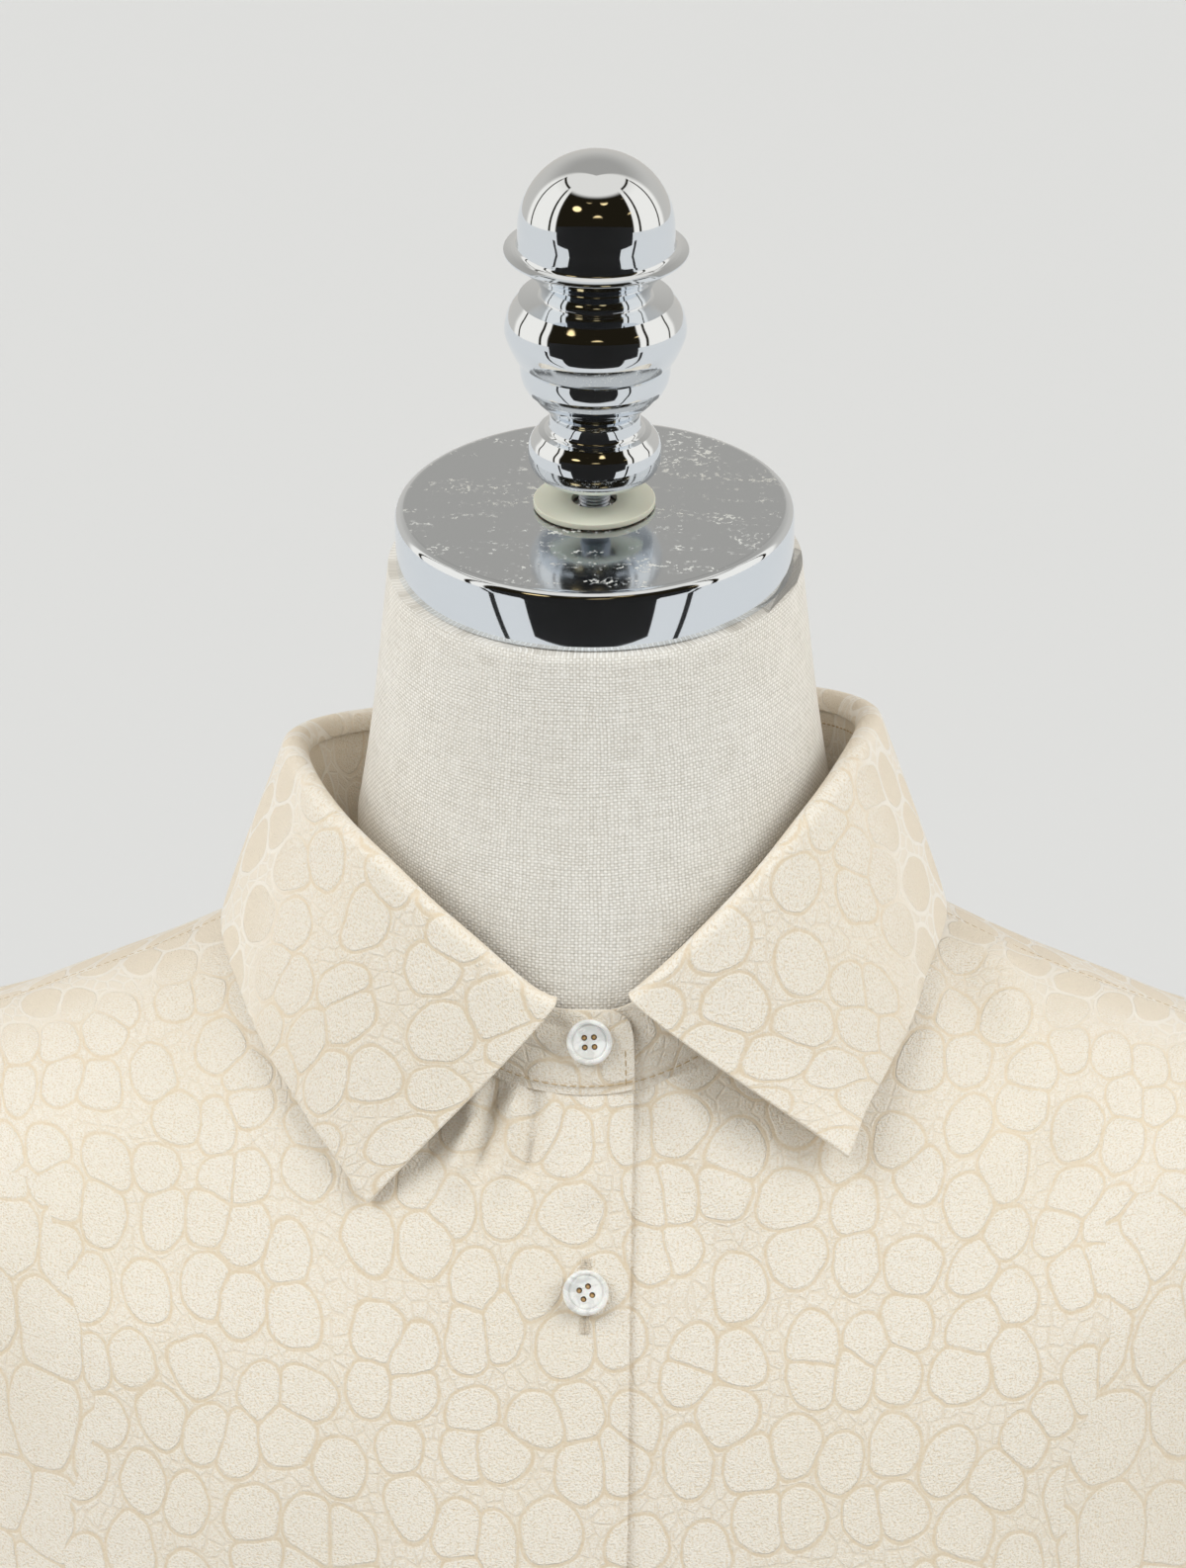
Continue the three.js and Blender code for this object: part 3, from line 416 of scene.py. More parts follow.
def side_rows(reach, shoulder=30, armhole=56, skirt=150):
    """Rings of a panel's rows from the neck to the hem, and its side edge's angle at each."""
    top = SHOULDER * np.arange(shoulder) / shoulder
    share = np.arange(armhole + 1) / armhole
    low = mix(UNDERARM, HEM, np.arange(1, skirt + 1) / skirt)
    rings = np.concatenate([top, armhole_ring(share), low])
    seam = angle_at_y(SEAM_GAP / 2, rings)
    edge = np.concatenate([np.zeros(shoulder), armhole_angle(share, reach), np.zeros(skirt)])
    return rings, np.maximum(seam, edge)


def grid_normals(grid, wraps=False):
    """Unit normals of a grid of points, on the side of down x across."""
    if wraps:
        across = np.roll(grid, -1, axis=1) - np.roll(grid, 1, axis=1)
    else:
        across = np.gradient(grid, axis=1)
    return unit(np.cross(np.gradient(grid, axis=0), across))


def faces_in(grid, wraps=False):
    """Whether a tube's grid has its normals on its inside."""
    outwards = grid - grid.mean(axis=1, keepdims=True)
    return np.sum(grid_normals(grid, wraps) * outwards) < 0


def crease_depth(across, down, creases):
    """How far creases stand out at places given in mm across and down a piece.

    Each crease runs from (a0, d0) to (a1, d1), bends by bow at its middle, and fades at its ends.
    """
    depth = np.zeros(across.shape)
    for k, (a0, d0, a1, d1, bow, width, height) in enumerate(zip(*creases.values())):
        run = np.array([a1 - a0, d1 - d0])
        length = np.hypot(*run)
        run = run / length
        t = ((across - a0) * run[0] + (down - d0) * run[1]) / length
        side = -(across - a0) * run[1] + (down - d0) * run[0]
        inside = np.clip(t, 0, 1)
        side = side - bow * 4 * inside * (1 - inside) - 0.12 * width * np.sin(9 * inside + 1.7 * k)
        ends = smooth(t / 0.3 + 0.15) * smooth((1 - t) / 0.34 + 0.15)
        swell = 1 + 0.22 * np.sin(6.3 * inside + 2.4 * k)
        spread = width * (0.75 + 0.5 * inside)
        depth += height * swell * ends * np.exp(-((side / spread) ** 2))
    return depth


def arc(points, axis):
    """Lengths along one axis of a grid of points, from its start."""
    steps = np.linalg.norm(np.diff(points, axis=axis), axis=-1)
    start = np.zeros_like(np.take(steps, [0], axis=axis))
    return np.concatenate([start, np.cumsum(steps, axis=axis)], axis=axis)


def flat_place(across, down):
    """Places on the flat cloth, in metres, from lengths across and down in mm."""
    return np.stack(np.broadcast_arrays(across, -down), axis=-1) * MM


def clear_selection():
    bpy.ops.object.select_all(action="DESELECT")


def take(piece):
    """Makes one object the selected and active one."""
    clear_selection()
    piece.select_set(True)
    bpy.context.view_layer.objects.active = piece


def joined(parts):
    """Joins parts into one object, which is then the active one."""
    take(parts[0])
    for part in parts:
        part.select_set(True)
    bpy.ops.object.join()
    return bpy.context.active_object


def taken_mesh(piece):
    """A piece's mesh, without its object."""
    mesh = piece.data.copy()
    bpy.data.objects.remove(piece)
    return mesh


def open_mesh():
    """Goes into edit mode on the active object, with all of its mesh selected."""
    bpy.ops.object.mode_set(mode="EDIT")
    bpy.ops.mesh.select_all(action="SELECT")


def close_mesh():
    bpy.ops.object.mode_set(mode="OBJECT")


def new_mesh(name, points, faces, material, uvs=None, values=None):
    """A mesh object from points in mm, its faces, and a value for each point in UV maps and attributes."""
    mesh = bpy.data.meshes.new(name)
    mesh.from_pydata((np.asarray(points) * MM).tolist(), [], faces)
    for uv_name, pairs in (uvs or {}).items():
        layer = mesh.uv_layers.new(name=uv_name)
        corners = np.empty(len(mesh.loops), int)
        mesh.loops.foreach_get("vertex_index", corners)
        layer.data.foreach_set("uv", np.asarray(pairs, float)[corners].ravel())
    for key, numbers in (values or {}).items():
        attribute = mesh.attributes.new(key, "FLOAT", "POINT")
        attribute.data.foreach_set("value", np.asarray(numbers, float).ravel())
    mesh.materials.append(material)
    mesh.shade_smooth()
    mesh.update()
    piece = bpy.data.objects.new(name, mesh)
    bpy.context.scene.collection.objects.link(piece)
    return piece


def grid_faces(rows, columns, wraps=False, flip=False):
    """Quads of a grid whose normals lie on the side of down x across, or the other when flipped."""
    j, i = np.meshgrid(np.arange(rows - 1), np.arange(columns if wraps else columns - 1), indexing="ij")
    right = (i + 1) % columns
    quads = [j * columns + i, (j + 1) * columns + i, (j + 1) * columns + right, j * columns + right]
    faces = np.stack(quads, axis=-1).reshape(-1, 4)
    return (faces[:, ::-1] if flip else faces).tolist()


def finish_mesh(piece, name, slot, *nodes):
    """Names a finished piece, sets what it rides on, and hides the CAD parts that it stands for; its slot
    is not used.
    """
    piece.name = name
    piece.data.name = name
    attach(piece, "root")
    if nodes:
        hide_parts(*nodes)
    return piece


def apply_modifiers(piece):
    take(piece)
    for modifier in list(piece.modifiers):
        bpy.ops.object.modifier_apply(modifier=modifier.name)


def cloth_piece(name, outer, material, wall, uvs, values=None, wraps=False, flip=False, edge=0.3):
    """A cloth wall from a grid of points on its outer face, thickened inwards, with soft cut edges."""
    rows, columns = outer.shape[:2]
    flat_uvs = {key: grid.reshape(-1, 2) for key, grid in uvs.items()}
    flat_values = {key: grid.reshape(-1) for key, grid in (values or {}).items()}
    faces = grid_faces(rows, columns, wraps, flip)
    piece = new_mesh(name, outer.reshape(-1, 3), faces, material, flat_uvs, flat_values)
    thick = piece.modifiers.new("wall", "SOLIDIFY")
    thick.thickness = wall
    thick.offset = -1
    thick.use_even_offset = True
    if edge:
        round_edge = piece.modifiers.new("edge", "BEVEL")
        round_edge.width = edge * MM
        round_edge.segments = 2
        round_edge.limit_method = "ANGLE"
        round_edge.angle_limit = math.radians(60)
    apply_modifiers(piece)
    return piece


class Level:
    """A number that changes over a surface, with Python's own arithmetic."""

    def __init__(self, paint, socket):
        self.paint = paint
        self.socket = socket

    def __add__(self, other):
        return self.paint.sum("ADD", self, other)

    def __radd__(self, other):
        return self.paint.sum("ADD", other, self)

    def __sub__(self, other):
        return self.paint.sum("SUBTRACT", self, other)

    def __rsub__(self, other):
        return self.paint.sum("SUBTRACT", other, self)

    def __mul__(self, other):
        return self.paint.sum("MULTIPLY", self, other)

    def __rmul__(self, other):
        return self.paint.sum("MULTIPLY", other, self)


class Paint:
    """A material built from nodes on one Principled shader."""

    def __init__(self, name):
        self.material = bpy.data.materials.new(name)
        self.material.use_nodes = True
        self.tree = self.material.node_tree
        self.shader = self.tree.nodes["Principled BSDF"]

    def put(self, socket, value):
        if isinstance(value, Level):
            self.tree.links.new(value.socket, socket)
        elif getattr(socket, "type", "") == "RGBA" and len(value) == 3:
            socket.default_value = (*value, 1.0)
        else:
            socket.default_value = value

    def node(self, kind, settings, values, output=0):
        made = self.tree.nodes.new(kind)
        for key, setting in settings.items():
            setattr(made, key, setting)
        for key, value in values.items():
            self.put(made.inputs[key], value)
        return Level(self, made.outputs[output])

    def sum(self, operation, *values):
        return self.node("ShaderNodeMath", {"operation": operation}, dict(enumerate(values)))

    def vector(self, operation, *values):
        return self.node("ShaderNodeVectorMath", {"operation": operation}, dict(enumerate(values)))

    def step(self, value, low, high, settle_low=0.0, settle_high=1.0):
        """Eases from one level to another as value goes from low to high."""
        values = {
            "Value": value, "From Min": low, "From Max": high, "To Min": settle_low, "To Max": settle_high}
        return self.node("ShaderNodeMapRange", {"interpolation_type": "SMOOTHSTEP"}, values)

    def band(self, value, middle, inside, outside):
        """1 near a middle value and 0 away from it."""
        return 1 - self.step(self.sum("ABSOLUTE", value - middle), inside, outside)

    def mix(self, factor, first, second, blend="MIX"):
        settings = {"data_type": "RGBA", "blend_type": blend}
        return self.node("ShaderNodeMix", settings, {0: factor, 6: first, 7: second}, output=2)

    def flat(self):
        """Places on the flat cloth."""
        return self.node("ShaderNodeUVMap", {"uv_map": "cloth"}, {})

    def place(self):
        return self.node("ShaderNodeTexCoord", {}, {}, output="Object")

    def split(self, vector):
        """The three numbers of a vector."""
        parts = self.node("ShaderNodeSeparateXYZ", {}, {"Vector": vector}).socket.node.outputs
        return [Level(self, part) for part in parts]

    def pushed(self, vector, drift, reach, deep=0.0):
        """Coordinates pushed about by a colour noise, by up to reach in mm."""
        values = {0: drift, 1: (reach * MM, reach * MM, deep * MM), 2: vector}
        return self.node("ShaderNodeVectorMath", {"operation": "MULTIPLY_ADD"}, values)

    def stretched(self, vector, across, down, deep=1.0):
        """Coordinates in units of these sizes in mm, for a vector in metres."""
        return self.vector("MULTIPLY", vector, tuple(1 / (size * MM) for size in (across, down, deep)))

    def noise(self, vector, detail=2.0, rough=0.5, output="Fac", flat=True):
        settings = {"noise_dimensions": "2D" if flat else "3D"}
        values = {"Vector": vector, "Scale": 1.0, "Detail": detail, "Roughness": rough}
        return self.node("ShaderNodeTexNoise", settings, values, output=output)

    def cloud(self, size, detail=2.0, rough=0.5, output="Fac"):
        """Noise through the solid, of a size in mm."""
        return self.noise(self.stretched(self.place(), size, size, size), detail, rough, output, flat=False)

    def cells(self, vector, feature, randomness):
        settings = {"voronoi_dimensions": "2D", "feature": feature}
        values = {"Vector": vector, "Scale": 1.0, "Randomness": randomness}
        return self.node("ShaderNodeTexVoronoi", settings, values, output="Distance")

    def scales(self, vector, size, randomness, cell, line, reach, rounding):
        """How far inside rounded scales a place is, in mm, and below 0 in the lines between them."""
        at = self.stretched(vector, *size)
        from_edge = self.cells(at, "DISTANCE_TO_EDGE", randomness) * cell - line
        from_round = reach - self.cells(at, "F1", randomness) * cell
        return self.sum("SMOOTH_MIN", from_edge, from_round, rounding)

    def bump(self, height, distance=1.0):
        """A relief, its height in units of distance in mm."""
        values = {"Height": height, "Distance": distance * MM, "Strength": 1.0}
        return self.node("ShaderNodeBump", {}, values)

    def finish(self, **values):
        """Sets sockets of the shader, named with underscores for spaces, and returns the material."""
        for key, value in values.items():
            self.put(self.shader.inputs[key.replace("_", " ")], value)
        return self.material


def darker(colour, share):
    return tuple(channel * share for channel in colour)


made_materials = {}


def once(make):
    """Keeps the first material that a function makes, so that pieces share it."""

    def get(*args):
        if make.__name__ not in made_materials:
            made_materials[make.__name__] = make(*args)
        return made_materials[make.__name__]

    return get


# The jacquard's sizes in mm, across and down
OVAL_SCALE = (13.8, 16.4)
BROAD_SCALE = (17, 22)
PEBBLE = (3.9, 4.6)
PEBBLE_CELL = 4.2
CREPE_GRAIN = (0.66, 0.5)


@once
def satin_material(cloth):
    """Cream satin with a tonal jacquard: matt crepe scales between lines of plain satin, with a painted
    sheen in its colour.
    """
    paint = Paint("satin")
    uv = paint.flat()
    drift = paint.noise(paint.stretched(uv, 34, 34), 1.0, output="Color")
    wobble = paint.noise(paint.stretched(uv, 7, 7), 1.0, output="Color")
    bent = paint.pushed(paint.pushed(uv, drift, 9), wobble, 1.3)

    # Oval scales with pebbles in the corners between them, and broad square ones where the cloth has them
    oval = paint.scales(bent, OVAL_SCALE, 0.7, cell=15, line=0.4, reach=7.2, rounding=2.0)
    broad = paint.scales(bent, BROAD_SCALE, 0.5, cell=19, line=0.36, reach=11.2, rounding=2.2)
    zone = paint.node("ShaderNodeAttribute", {"attribute_name": "broad"}, {}, output="Fac")
    border = paint.step(zone, -0.03, 0.03)
    field = oval * (1 - border) + broad * border
    scale = paint.step(field, -0.1, 0.3)
    outline = paint.band(field, -0.45, 0.14, 0.55)
    pebble_edge = paint.cells(paint.stretched(bent, *PEBBLE), "DISTANCE_TO_EDGE", 0.9) * PEBBLE_CELL
    pebble = paint.step(pebble_edge, 0.15, 0.5) * paint.step(field, -0.8, -1.2)

    # Crepe grain in the scales, with a little everywhere
    grain = paint.noise(paint.stretched(uv, *CREPE_GRAIN), 1.5, 0.6)
    mottle = paint.noise(paint.stretched(uv, 3.1, 2.2), 1.0)
    cloudy = paint.noise(paint.stretched(uv, 46, 60), 1.0)
    matt = paint.sum("MAXIMUM", scale, pebble * 0.65)
    tone = matt * 0.34 - outline * 0.4 + 0.56 + (grain - 0.5) * (matt * 2.2 + 0.9) + (mottle - 0.5) * 0.4
    # Painted sheen: where the cloth turns away from the view, the base colour lightens on the plain satin
    # lines and darkens on the scales
    facing = paint.node("ShaderNodeLayerWeight", {}, {"Blend": 0.5}, output="Facing")
    shine = paint.step(facing, 0.3, 0.6)
    tone = tone * (1 - shine) + (1.1 - matt * 0.55) * shine
    colour = paint.mix(tone, cloth.line_colour, cloth.scale_colour)
    colour = paint.mix(paint.step(cloudy, 0.3, 0.75, 0.0, 0.1), colour, srgb(228, 214, 187))
    relief = scale * 0.04 + pebble * 0.03 + grain * (matt * 0.26 + 0.08) + mottle * 0.12
    return paint.finish(
        Base_Color=colour,
        Roughness=0.36 + matt * 0.24,
        Coat_Weight=0.75 - matt * 0.7,
        Normal=paint.bump(relief),
        Coat_Roughness=0.3,
        Coat_IOR=1.6,
        IOR=1.46,
        Sheen_Weight=0.12,
        Sheen_Roughness=0.4,
    )


# The linen's threads, from one to the next in mm
WARP_PITCH = 0.84
WEFT_PITCH = 0.76


@once
def linen_material(form):
    """Off-white plain-woven linen with uneven threads."""
    paint = Paint("linen")
    uv = paint.flat()
    slub_across = paint.noise(paint.stretched(uv, 9, 0.8))
    slub_down = paint.noise(paint.stretched(uv, 0.8, 9))
    wander = paint.noise(paint.stretched(uv, 12, 12), 1.0, output="Color")
    bent = paint.pushed(uv, wander, 1.2)
    waves = paint.split(paint.stretched(bent, WARP_PITCH / math.pi, WEFT_PITCH / math.pi))
    warp, weft = (paint.sum("SINE", wave) for wave in waves[:2])
    knots = paint.step(warp * weft, -0.6, 0.9)
    over = paint.sum("ABSOLUTE", warp) * 0.5 + paint.sum("ABSOLUTE", weft) * 0.5
    thick = slub_across * 0.5 + slub_down * 0.5
    dust = paint.noise(paint.stretched(uv, 60, 60), 3.0)
    dark = tuple(channel * share for channel, share in zip(form.linen_colour, (0.5, 0.47, 0.42)))
    tone = over * 0.72 + knots * 0.42 + (thick - 0.5) * 0.9
    colour = paint.mix(tone, dark, form.linen_colour)
    colour = paint.mix(paint.step(dust, 0.35, 0.75, 0.0, 0.14), colour, srgb(214, 205, 188))
    relief = over * 0.1 + knots * 0.08 + thick * 0.16
    return paint.finish(
        Base_Color=colour,
        Roughness=0.92 - over * 0.08,
        Normal=paint.bump(relief),
        Sheen_Weight=0.1,
        Sheen_Roughness=0.6,
    )


@once
def chrome_material(form):
    """Bright plating with faint handling marks."""
    paint = Paint("chrome")
    marks = paint.cloud(40, 4.0, 0.65)
    haze = paint.cloud(6)
    return paint.finish(
        Base_Color=paint.mix(marks * 0.25, form.chrome_colour, (0.78, 0.79, 0.8)),
        Metallic=1.0,
        Roughness=0.035 + paint.step(marks, 0.5, 0.8, 0.0, 0.05) + haze * 0.02,
    )


# Which way the tilted cap's top faces
CAP_UP = (0, -0.22, 0.975)


@once
def cap_material(form):
    """The cap's plating, brushed and dusty on its top, with the top's colour darkened as a painted
    reflection of a grey ceiling.
    """
    paint = Paint("cap chrome")
    place = paint.place()
    normal = paint.node("ShaderNodeNewGeometry", {}, {}, output="Normal")
    values = {0: normal, 1: CAP_UP}
    upwards = paint.node("ShaderNodeVectorMath", {"operation": "DOT_PRODUCT"}, values, "Value")
    top = paint.step(upwards, 0.97, 0.995)
    smear = paint.noise(paint.stretched(place, 24, 7, 24), 4.0, 0.7, flat=False)
    streaks = paint.noise(paint.stretched(place, 2.6, 30, 8), 3.0, 0.6, flat=False)
    specks = paint.cloud(1.3)
    # Painted reflection: the top's plating is darkened to stand for a grey ceiling mirrored in it
    painted_dark_top = darker(form.chrome_colour, 0.78)
    dust = paint.step(specks, 0.54, 0.62) * paint.step(smear * 0.7 + streaks * 0.3, 0.5, 0.6) * top
    return paint.finish(
        Base_Color=paint.mix(dust, paint.mix(top, form.chrome_colour, painted_dark_top), (0.8, 0.8, 0.76)),
        Metallic=1.0 - dust * 0.7,
        Roughness=0.04 + top * 0.03 + dust * 0.4 + smear * top * 0.08,
    )


@once
def zinc_material():
    paint = Paint("zinc")
    marks = paint.noise(paint.stretched(paint.place(), 2, 2), 3.0, flat=False)
    colour = paint.mix(marks, (0.36, 0.4, 0.46), (0.56, 0.58, 0.62))
    return paint.finish(Base_Color=colour, Metallic=1.0, Roughness=0.28 + marks * 0.15)


@once
def nylon_material(form):
    paint = Paint("nylon")
    cloud = paint.cloud(9)
    return paint.finish(
        Base_Color=paint.mix(cloud * 0.5, form.nylon_colour, srgb(206, 205, 184)),
        Roughness=0.42 + cloud * 0.1,
        Subsurface_Weight=0.08,
        Subsurface_Scale=3 * MM,
    )


@once
def pearl_material():
    """Polished shell: soft bands of white, grey and warm cream under a clear gloss."""
    paint = Paint("pearl")
    bent = paint.pushed(paint.place(), paint.cloud(9, output="Color"), 12, deep=12)
    bands = paint.noise(paint.stretched(bent, 3.4, 7, 2.2), 3.0, 0.55, flat=False)
    milk = paint.cloud(14, 1.0)
    colour = paint.mix(paint.step(bands, 0.34, 0.66), srgb(214, 213, 209), srgb(243, 242, 238))
    colour = paint.mix(paint.step(milk, 0.45, 0.75, 0.0, 0.25), colour, srgb(241, 236, 225))
    return paint.finish(
        Base_Color=colour,
        Roughness=0.2 + bands * 0.16,
        Coat_Weight=0.5,
        Coat_Roughness=0.08,
        IOR=1.53,
        Subsurface_Weight=0.1,
        Subsurface_Scale=1.5 * MM,
    )


@once
def thread_material(cloth):
    paint = Paint("thread")
    twist = paint.cloud(0.35, 1.0)
    shade = paint.mix(twist, darker(cloth.thread_colour, 0.78), cloth.thread_colour)
    return paint.finish(Base_Color=shade, Roughness=0.55 + twist * 0.15, Normal=paint.bump(twist, 0.1))


def soft_thread(name, dark, light, rough):
    paint = Paint(name)
    twist = paint.cloud(0.4, 1.0)
    return paint.finish(Base_Color=paint.mix(twist, dark, light), Roughness=rough + twist * 0.1)


@once
def worked_material(cloth):
    """The paler thread of the buttonholes."""
    return soft_thread("worked thread", darker(cloth.line_colour, 0.8), cloth.scale_colour, 0.5)


@once
def hole_material():
    """The sewing thread inside a button's holes."""
    return soft_thread("hole thread", srgb(188, 146, 92), srgb(224, 190, 140), 0.6)


class Surroundings(Paint):
    """The light from all round the studio."""

    def __init__(self, world):
        world.use_nodes = True
        self.tree = world.node_tree
        self.shader = self.tree.nodes["Background"]


def studio_world(stage):
    """White panels on both sides, a dark room in front with a few lamps, and a grey ceiling and back."""
    world = bpy.data.worlds.new("studio")
    light = Surroundings(world)
    x, y, z = light.split(light.node("ShaderNodeTexCoord", {}, {}, output="Generated"))
    # The turn from the front and the height over the horizon, in degrees
    turn = light.sum("ARCTAN2", x, y * -1.0) * (180 / math.pi)
    away = light.sum("ABSOLUTE", turn)
    height = light.sum("ARCSINE", z) * (180 / math.pi)
    below = 1 - light.step(height, 50, 57)
    room = (1 - light.step(away, 58, 61)) * below
    near = light.band(away, 70, 1.4, 2.6)
    far = light.band(away, 108, 1.0, 2.0)
    lintel = light.band(height, 56, 0.8, 2.0) * light.step(away, 68, 70)
    bars = (near + far) * below + lintel * (1 - light.step(away, 108, 112))
    back = light.step(away, 112, 124)
    high = light.step(height, 22, 60)
    brightness = 1.25 - back * 0.65 - high * 0.4 + back * high * 0.2
    spots_at = light.node("ShaderNodeCombineXYZ", {}, {"X": turn * 0.025, "Y": height * 0.05, "Z": 0.3})
    spots = (1 - light.step(light.cells(spots_at, "F1", 0.8), 0.16, 0.22)) * room
    spots = spots * light.step(height, 22, 26) * (1 - light.step(height, 42, 46))
    level = (1 - room) * (1 - light.sum("MINIMUM", bars, 1.0)) * brightness
    colour = light.mix(level, (0.014, 0.011, 0.006), (1.0, 0.95, 0.87))
    colour = light.mix(spots, colour, (1.6, 1.2, 0.6))
    camera_ray = light.node("ShaderNodeLightPath", {}, {}, output="Is Camera Ray")
    light.put(light.shader.inputs["Color"], light.mix(camera_ray, colour, (0.75, 0.75, 0.75)))
    light.shader.inputs["Strength"].default_value = stage.sky
    return world


@once
def floor_material(stage):
    paint = Paint("floor")
    cloud = paint.cloud(900)
    colour = paint.mix(cloud * 0.3, stage.floor_colour, darker(stage.floor_colour, 0.985))
    return paint.finish(Base_Color=colour, Roughness=0.85 + cloud * 0.05)


# Creases: from (a0, d0) to (a1, d1) in mm, the bend, the width and the height.
# On the fronts and the back, a is x and d is z.
FRONT_CREASES = table(
    "a0 d0 a1 d1 bow width height",
    (88, 946, 106, 909, 4, 5.5, -1.9),
    (97, 950, 119, 903, 5, 6.5, 3.2),
    (118, 936, 140, 872, -8, 11, -1.3),
    (-8, 924, -9, 906, 0.5, 1.8, 1.0),
    (-12, 925, -15, 902, 1, 1.9, -2.2),
    (-17, 926, -21, 898, 1, 2.1, 2.4),
    (-22, 926, -27, 903, 1, 1.9, -2.6),
    (-27, 927, -33, 896, 1.5, 2.3, 2.4),
    (-33, 928, -41, 905, 1, 2.1, -2.2),
    (3, 921, 2, 895, 0.5, 4, 1.4),
    (12, 924, 26, 880, 3, 6, -1.6),
    (20, 926, 40, 888, 3, 6, 1.6),
    (-96, 940, -128, 862, 6, 13, -1.4),
    (-60, 880, -92, 800, 8, 17, 1.2),
    (58, 876, 96, 790, -9, 18, 1.3),
    (22, 850, 40, 742, 5, 15, -1.1),
    (-24, 838, -46, 716, 6, 15, 0.9),
    (150, 800, 92, 742, 8, 9, 1.9),
    (158, 778, 98, 712, 9, 10, -1.9),
    (165, 752, 118, 668, 6, 9, 1.7),
    (-150, 802, -94, 738, -8, 9, 1.8),
    (-160, 776, -104, 700, -8, 10, -2.0),
    (-166, 748, -120, 660, -6, 9, 1.6),
    (70, 690, 88, 520, 8, 12, 1.7),
    (-74, 672, -60, 500, -7, 13, -1.6),
    (38, 600, 50, 420, -5, 11, -1.4),
    (-36, 620, -30, 470, 4, 10, 1.3),
    (128, 640, 140, 470, 6, 11, 1.6),
    (-132, 610, -146, 450, 6, 12, 1.5),
)
BACK_CREASES = table(
    "a0 d0 a1 d1 bow width height",
    (60, 940, 96, 880, 6, 14, -1.2),
    (-66, 938, -98, 876, -6, 14, -1.2),
    (152, 810, 84, 742, -9, 10, 2.0),
    (160, 782, 96, 700, -9, 11, -2.0),
    (-150, 806, -88, 746, 9, 10, 1.9),
    (-158, 780, -92, 704, 9, 11, -1.9),
    (12, 866, 18, 700, 5, 14, 1.6),
    (-34, 860, -44, 690, -5, 15, -1.4),
    (64, 850, 78, 660, 6, 15, 1.4),
    (-92, 840, -104, 650, -6, 16, 1.3),
    (30, 640, 22, 430, 6, 13, -1.7),
    (-60, 640, -54, 440, -6, 13, 1.8),
    (104, 620, 118, 430, 6, 12, 1.6),
    (-120, 600, -132, 440, -6, 12, -1.5),
)
# On a sleeve, a is the turn round it in degrees and d the ring down it, both scaled to mm.
TURN_MM = 1.35
RING_MM = 56
SLEEVE_CREASES = table(
    "a0 d0 a1 d1 bow width height",
    (14, 26, 60, 118, 8, 10, 2.0),
    (48, 30, 96, 150, 9, 12, -1.8),
    (96, 60, 170, 130, 10, 10, 2.4),
    (120, 110, 214, 176, -8, 10, -2.2),
    (330, 60, 262, 132, -9, 10, 2.3),
    (318, 120, 236, 178, 9, 11, -2.1),
    (452, 40, 410, 140, 8, 12, 1.9),
    (60, 246, 150, 272, 7, 9, 2.6),
    (70, 290, 168, 306, -8, 8, -2.8),
    (96, 322, 186, 340, 8, 9, 2.4),
    (204, 268, 292, 250, 7, 9, 2.4),
    (214, 312, 306, 292, -7, 9, -2.5),
    (350, 262, 430, 286, 7, 10, 2.2),
    (344, 316, 440, 330, -7, 9, -2.4),
    (30, 372, 78, 470, 6, 9, 2.0),
    (120, 380, 140, 500, 6, 8, -2.1),
    (206, 372, 214, 498, -5, 8, 2.2),
    (292, 380, 282, 506, 5, 8, -2.0),
    (372, 384, 352, 500, -6, 9, 2.1),
    (440, 398, 424, 496, 5, 9, -1.8),
)
CUFF_PLEATS = ((150, 5.5), (178, 5.5), (322, 4.5))
PLEAT_DEPTH = 1.9
TUCK_IN = 1.9
TUCK_DOWN = 4.5


def body_uv(angle, s, steps=36):
    """Places on the flat cloth, in metres: across from the centre line, and down from the underarm."""
    place = body_face(angle, s)
    side = np.where(np.sin(angle) < 0, 1.0, -1.0)
    share = np.linspace(0, 1, steps)[:, None, None]
    half = row_at(BODY_RINGS, np.maximum(s, SHOULDER))["half"]
    x = np.clip(place[..., 0], -half, half)
    wide = np.maximum(s, SHOULDER)
    reached = angle_at_x(x, wide) * side
    along = body_face(mix(-side * np.pi / 2, reached, share), wide[None])
    across = np.linalg.norm(np.diff(along[..., :2], axis=0), axis=-1).sum(axis=0)
    rings = mix(float(UNDERARM), s, share)
    limit = row_at(BODY_RINGS, rings)["half"] * 0.9998
    turns = angle_at_x(np.clip(x, -limit, limit), rings) * side
    fall = body_face(turns, rings)
    down = np.linalg.norm(np.diff(fall[..., 1:], axis=0), axis=-1).sum(axis=0)
    return np.stack([across * np.sign(x) * side, np.where(s < UNDERARM, down, -down)], axis=-1) * MM


def broad_scales(x, z):
    """1 where the scales are broad and square, -1 where they are oval, and between at the border."""
    side = np.abs(x) - 130 + 6 * np.sin(z / 31) + 4 * np.sin(z / 13 + x / 17)
    return np.clip(np.minimum(side, (895 - z) * 0.7) / 9, -1, 1)


def cut_size(piece):
    """The cloth's measured width, length and area in metres, of one face of its wall."""
    mesh = piece.data
    layer = mesh.uv_layers["cloth"].data
    uv = np.empty(len(layer) * 2)
    layer.foreach_get("uv", uv)
    uv = uv.reshape(-1, 2)
    width, length = uv.max(axis=0) - uv.min(axis=0)
    area = sum(polygon.area for polygon in mesh.polygons) / 2
    return float(width), float(length), float(area)


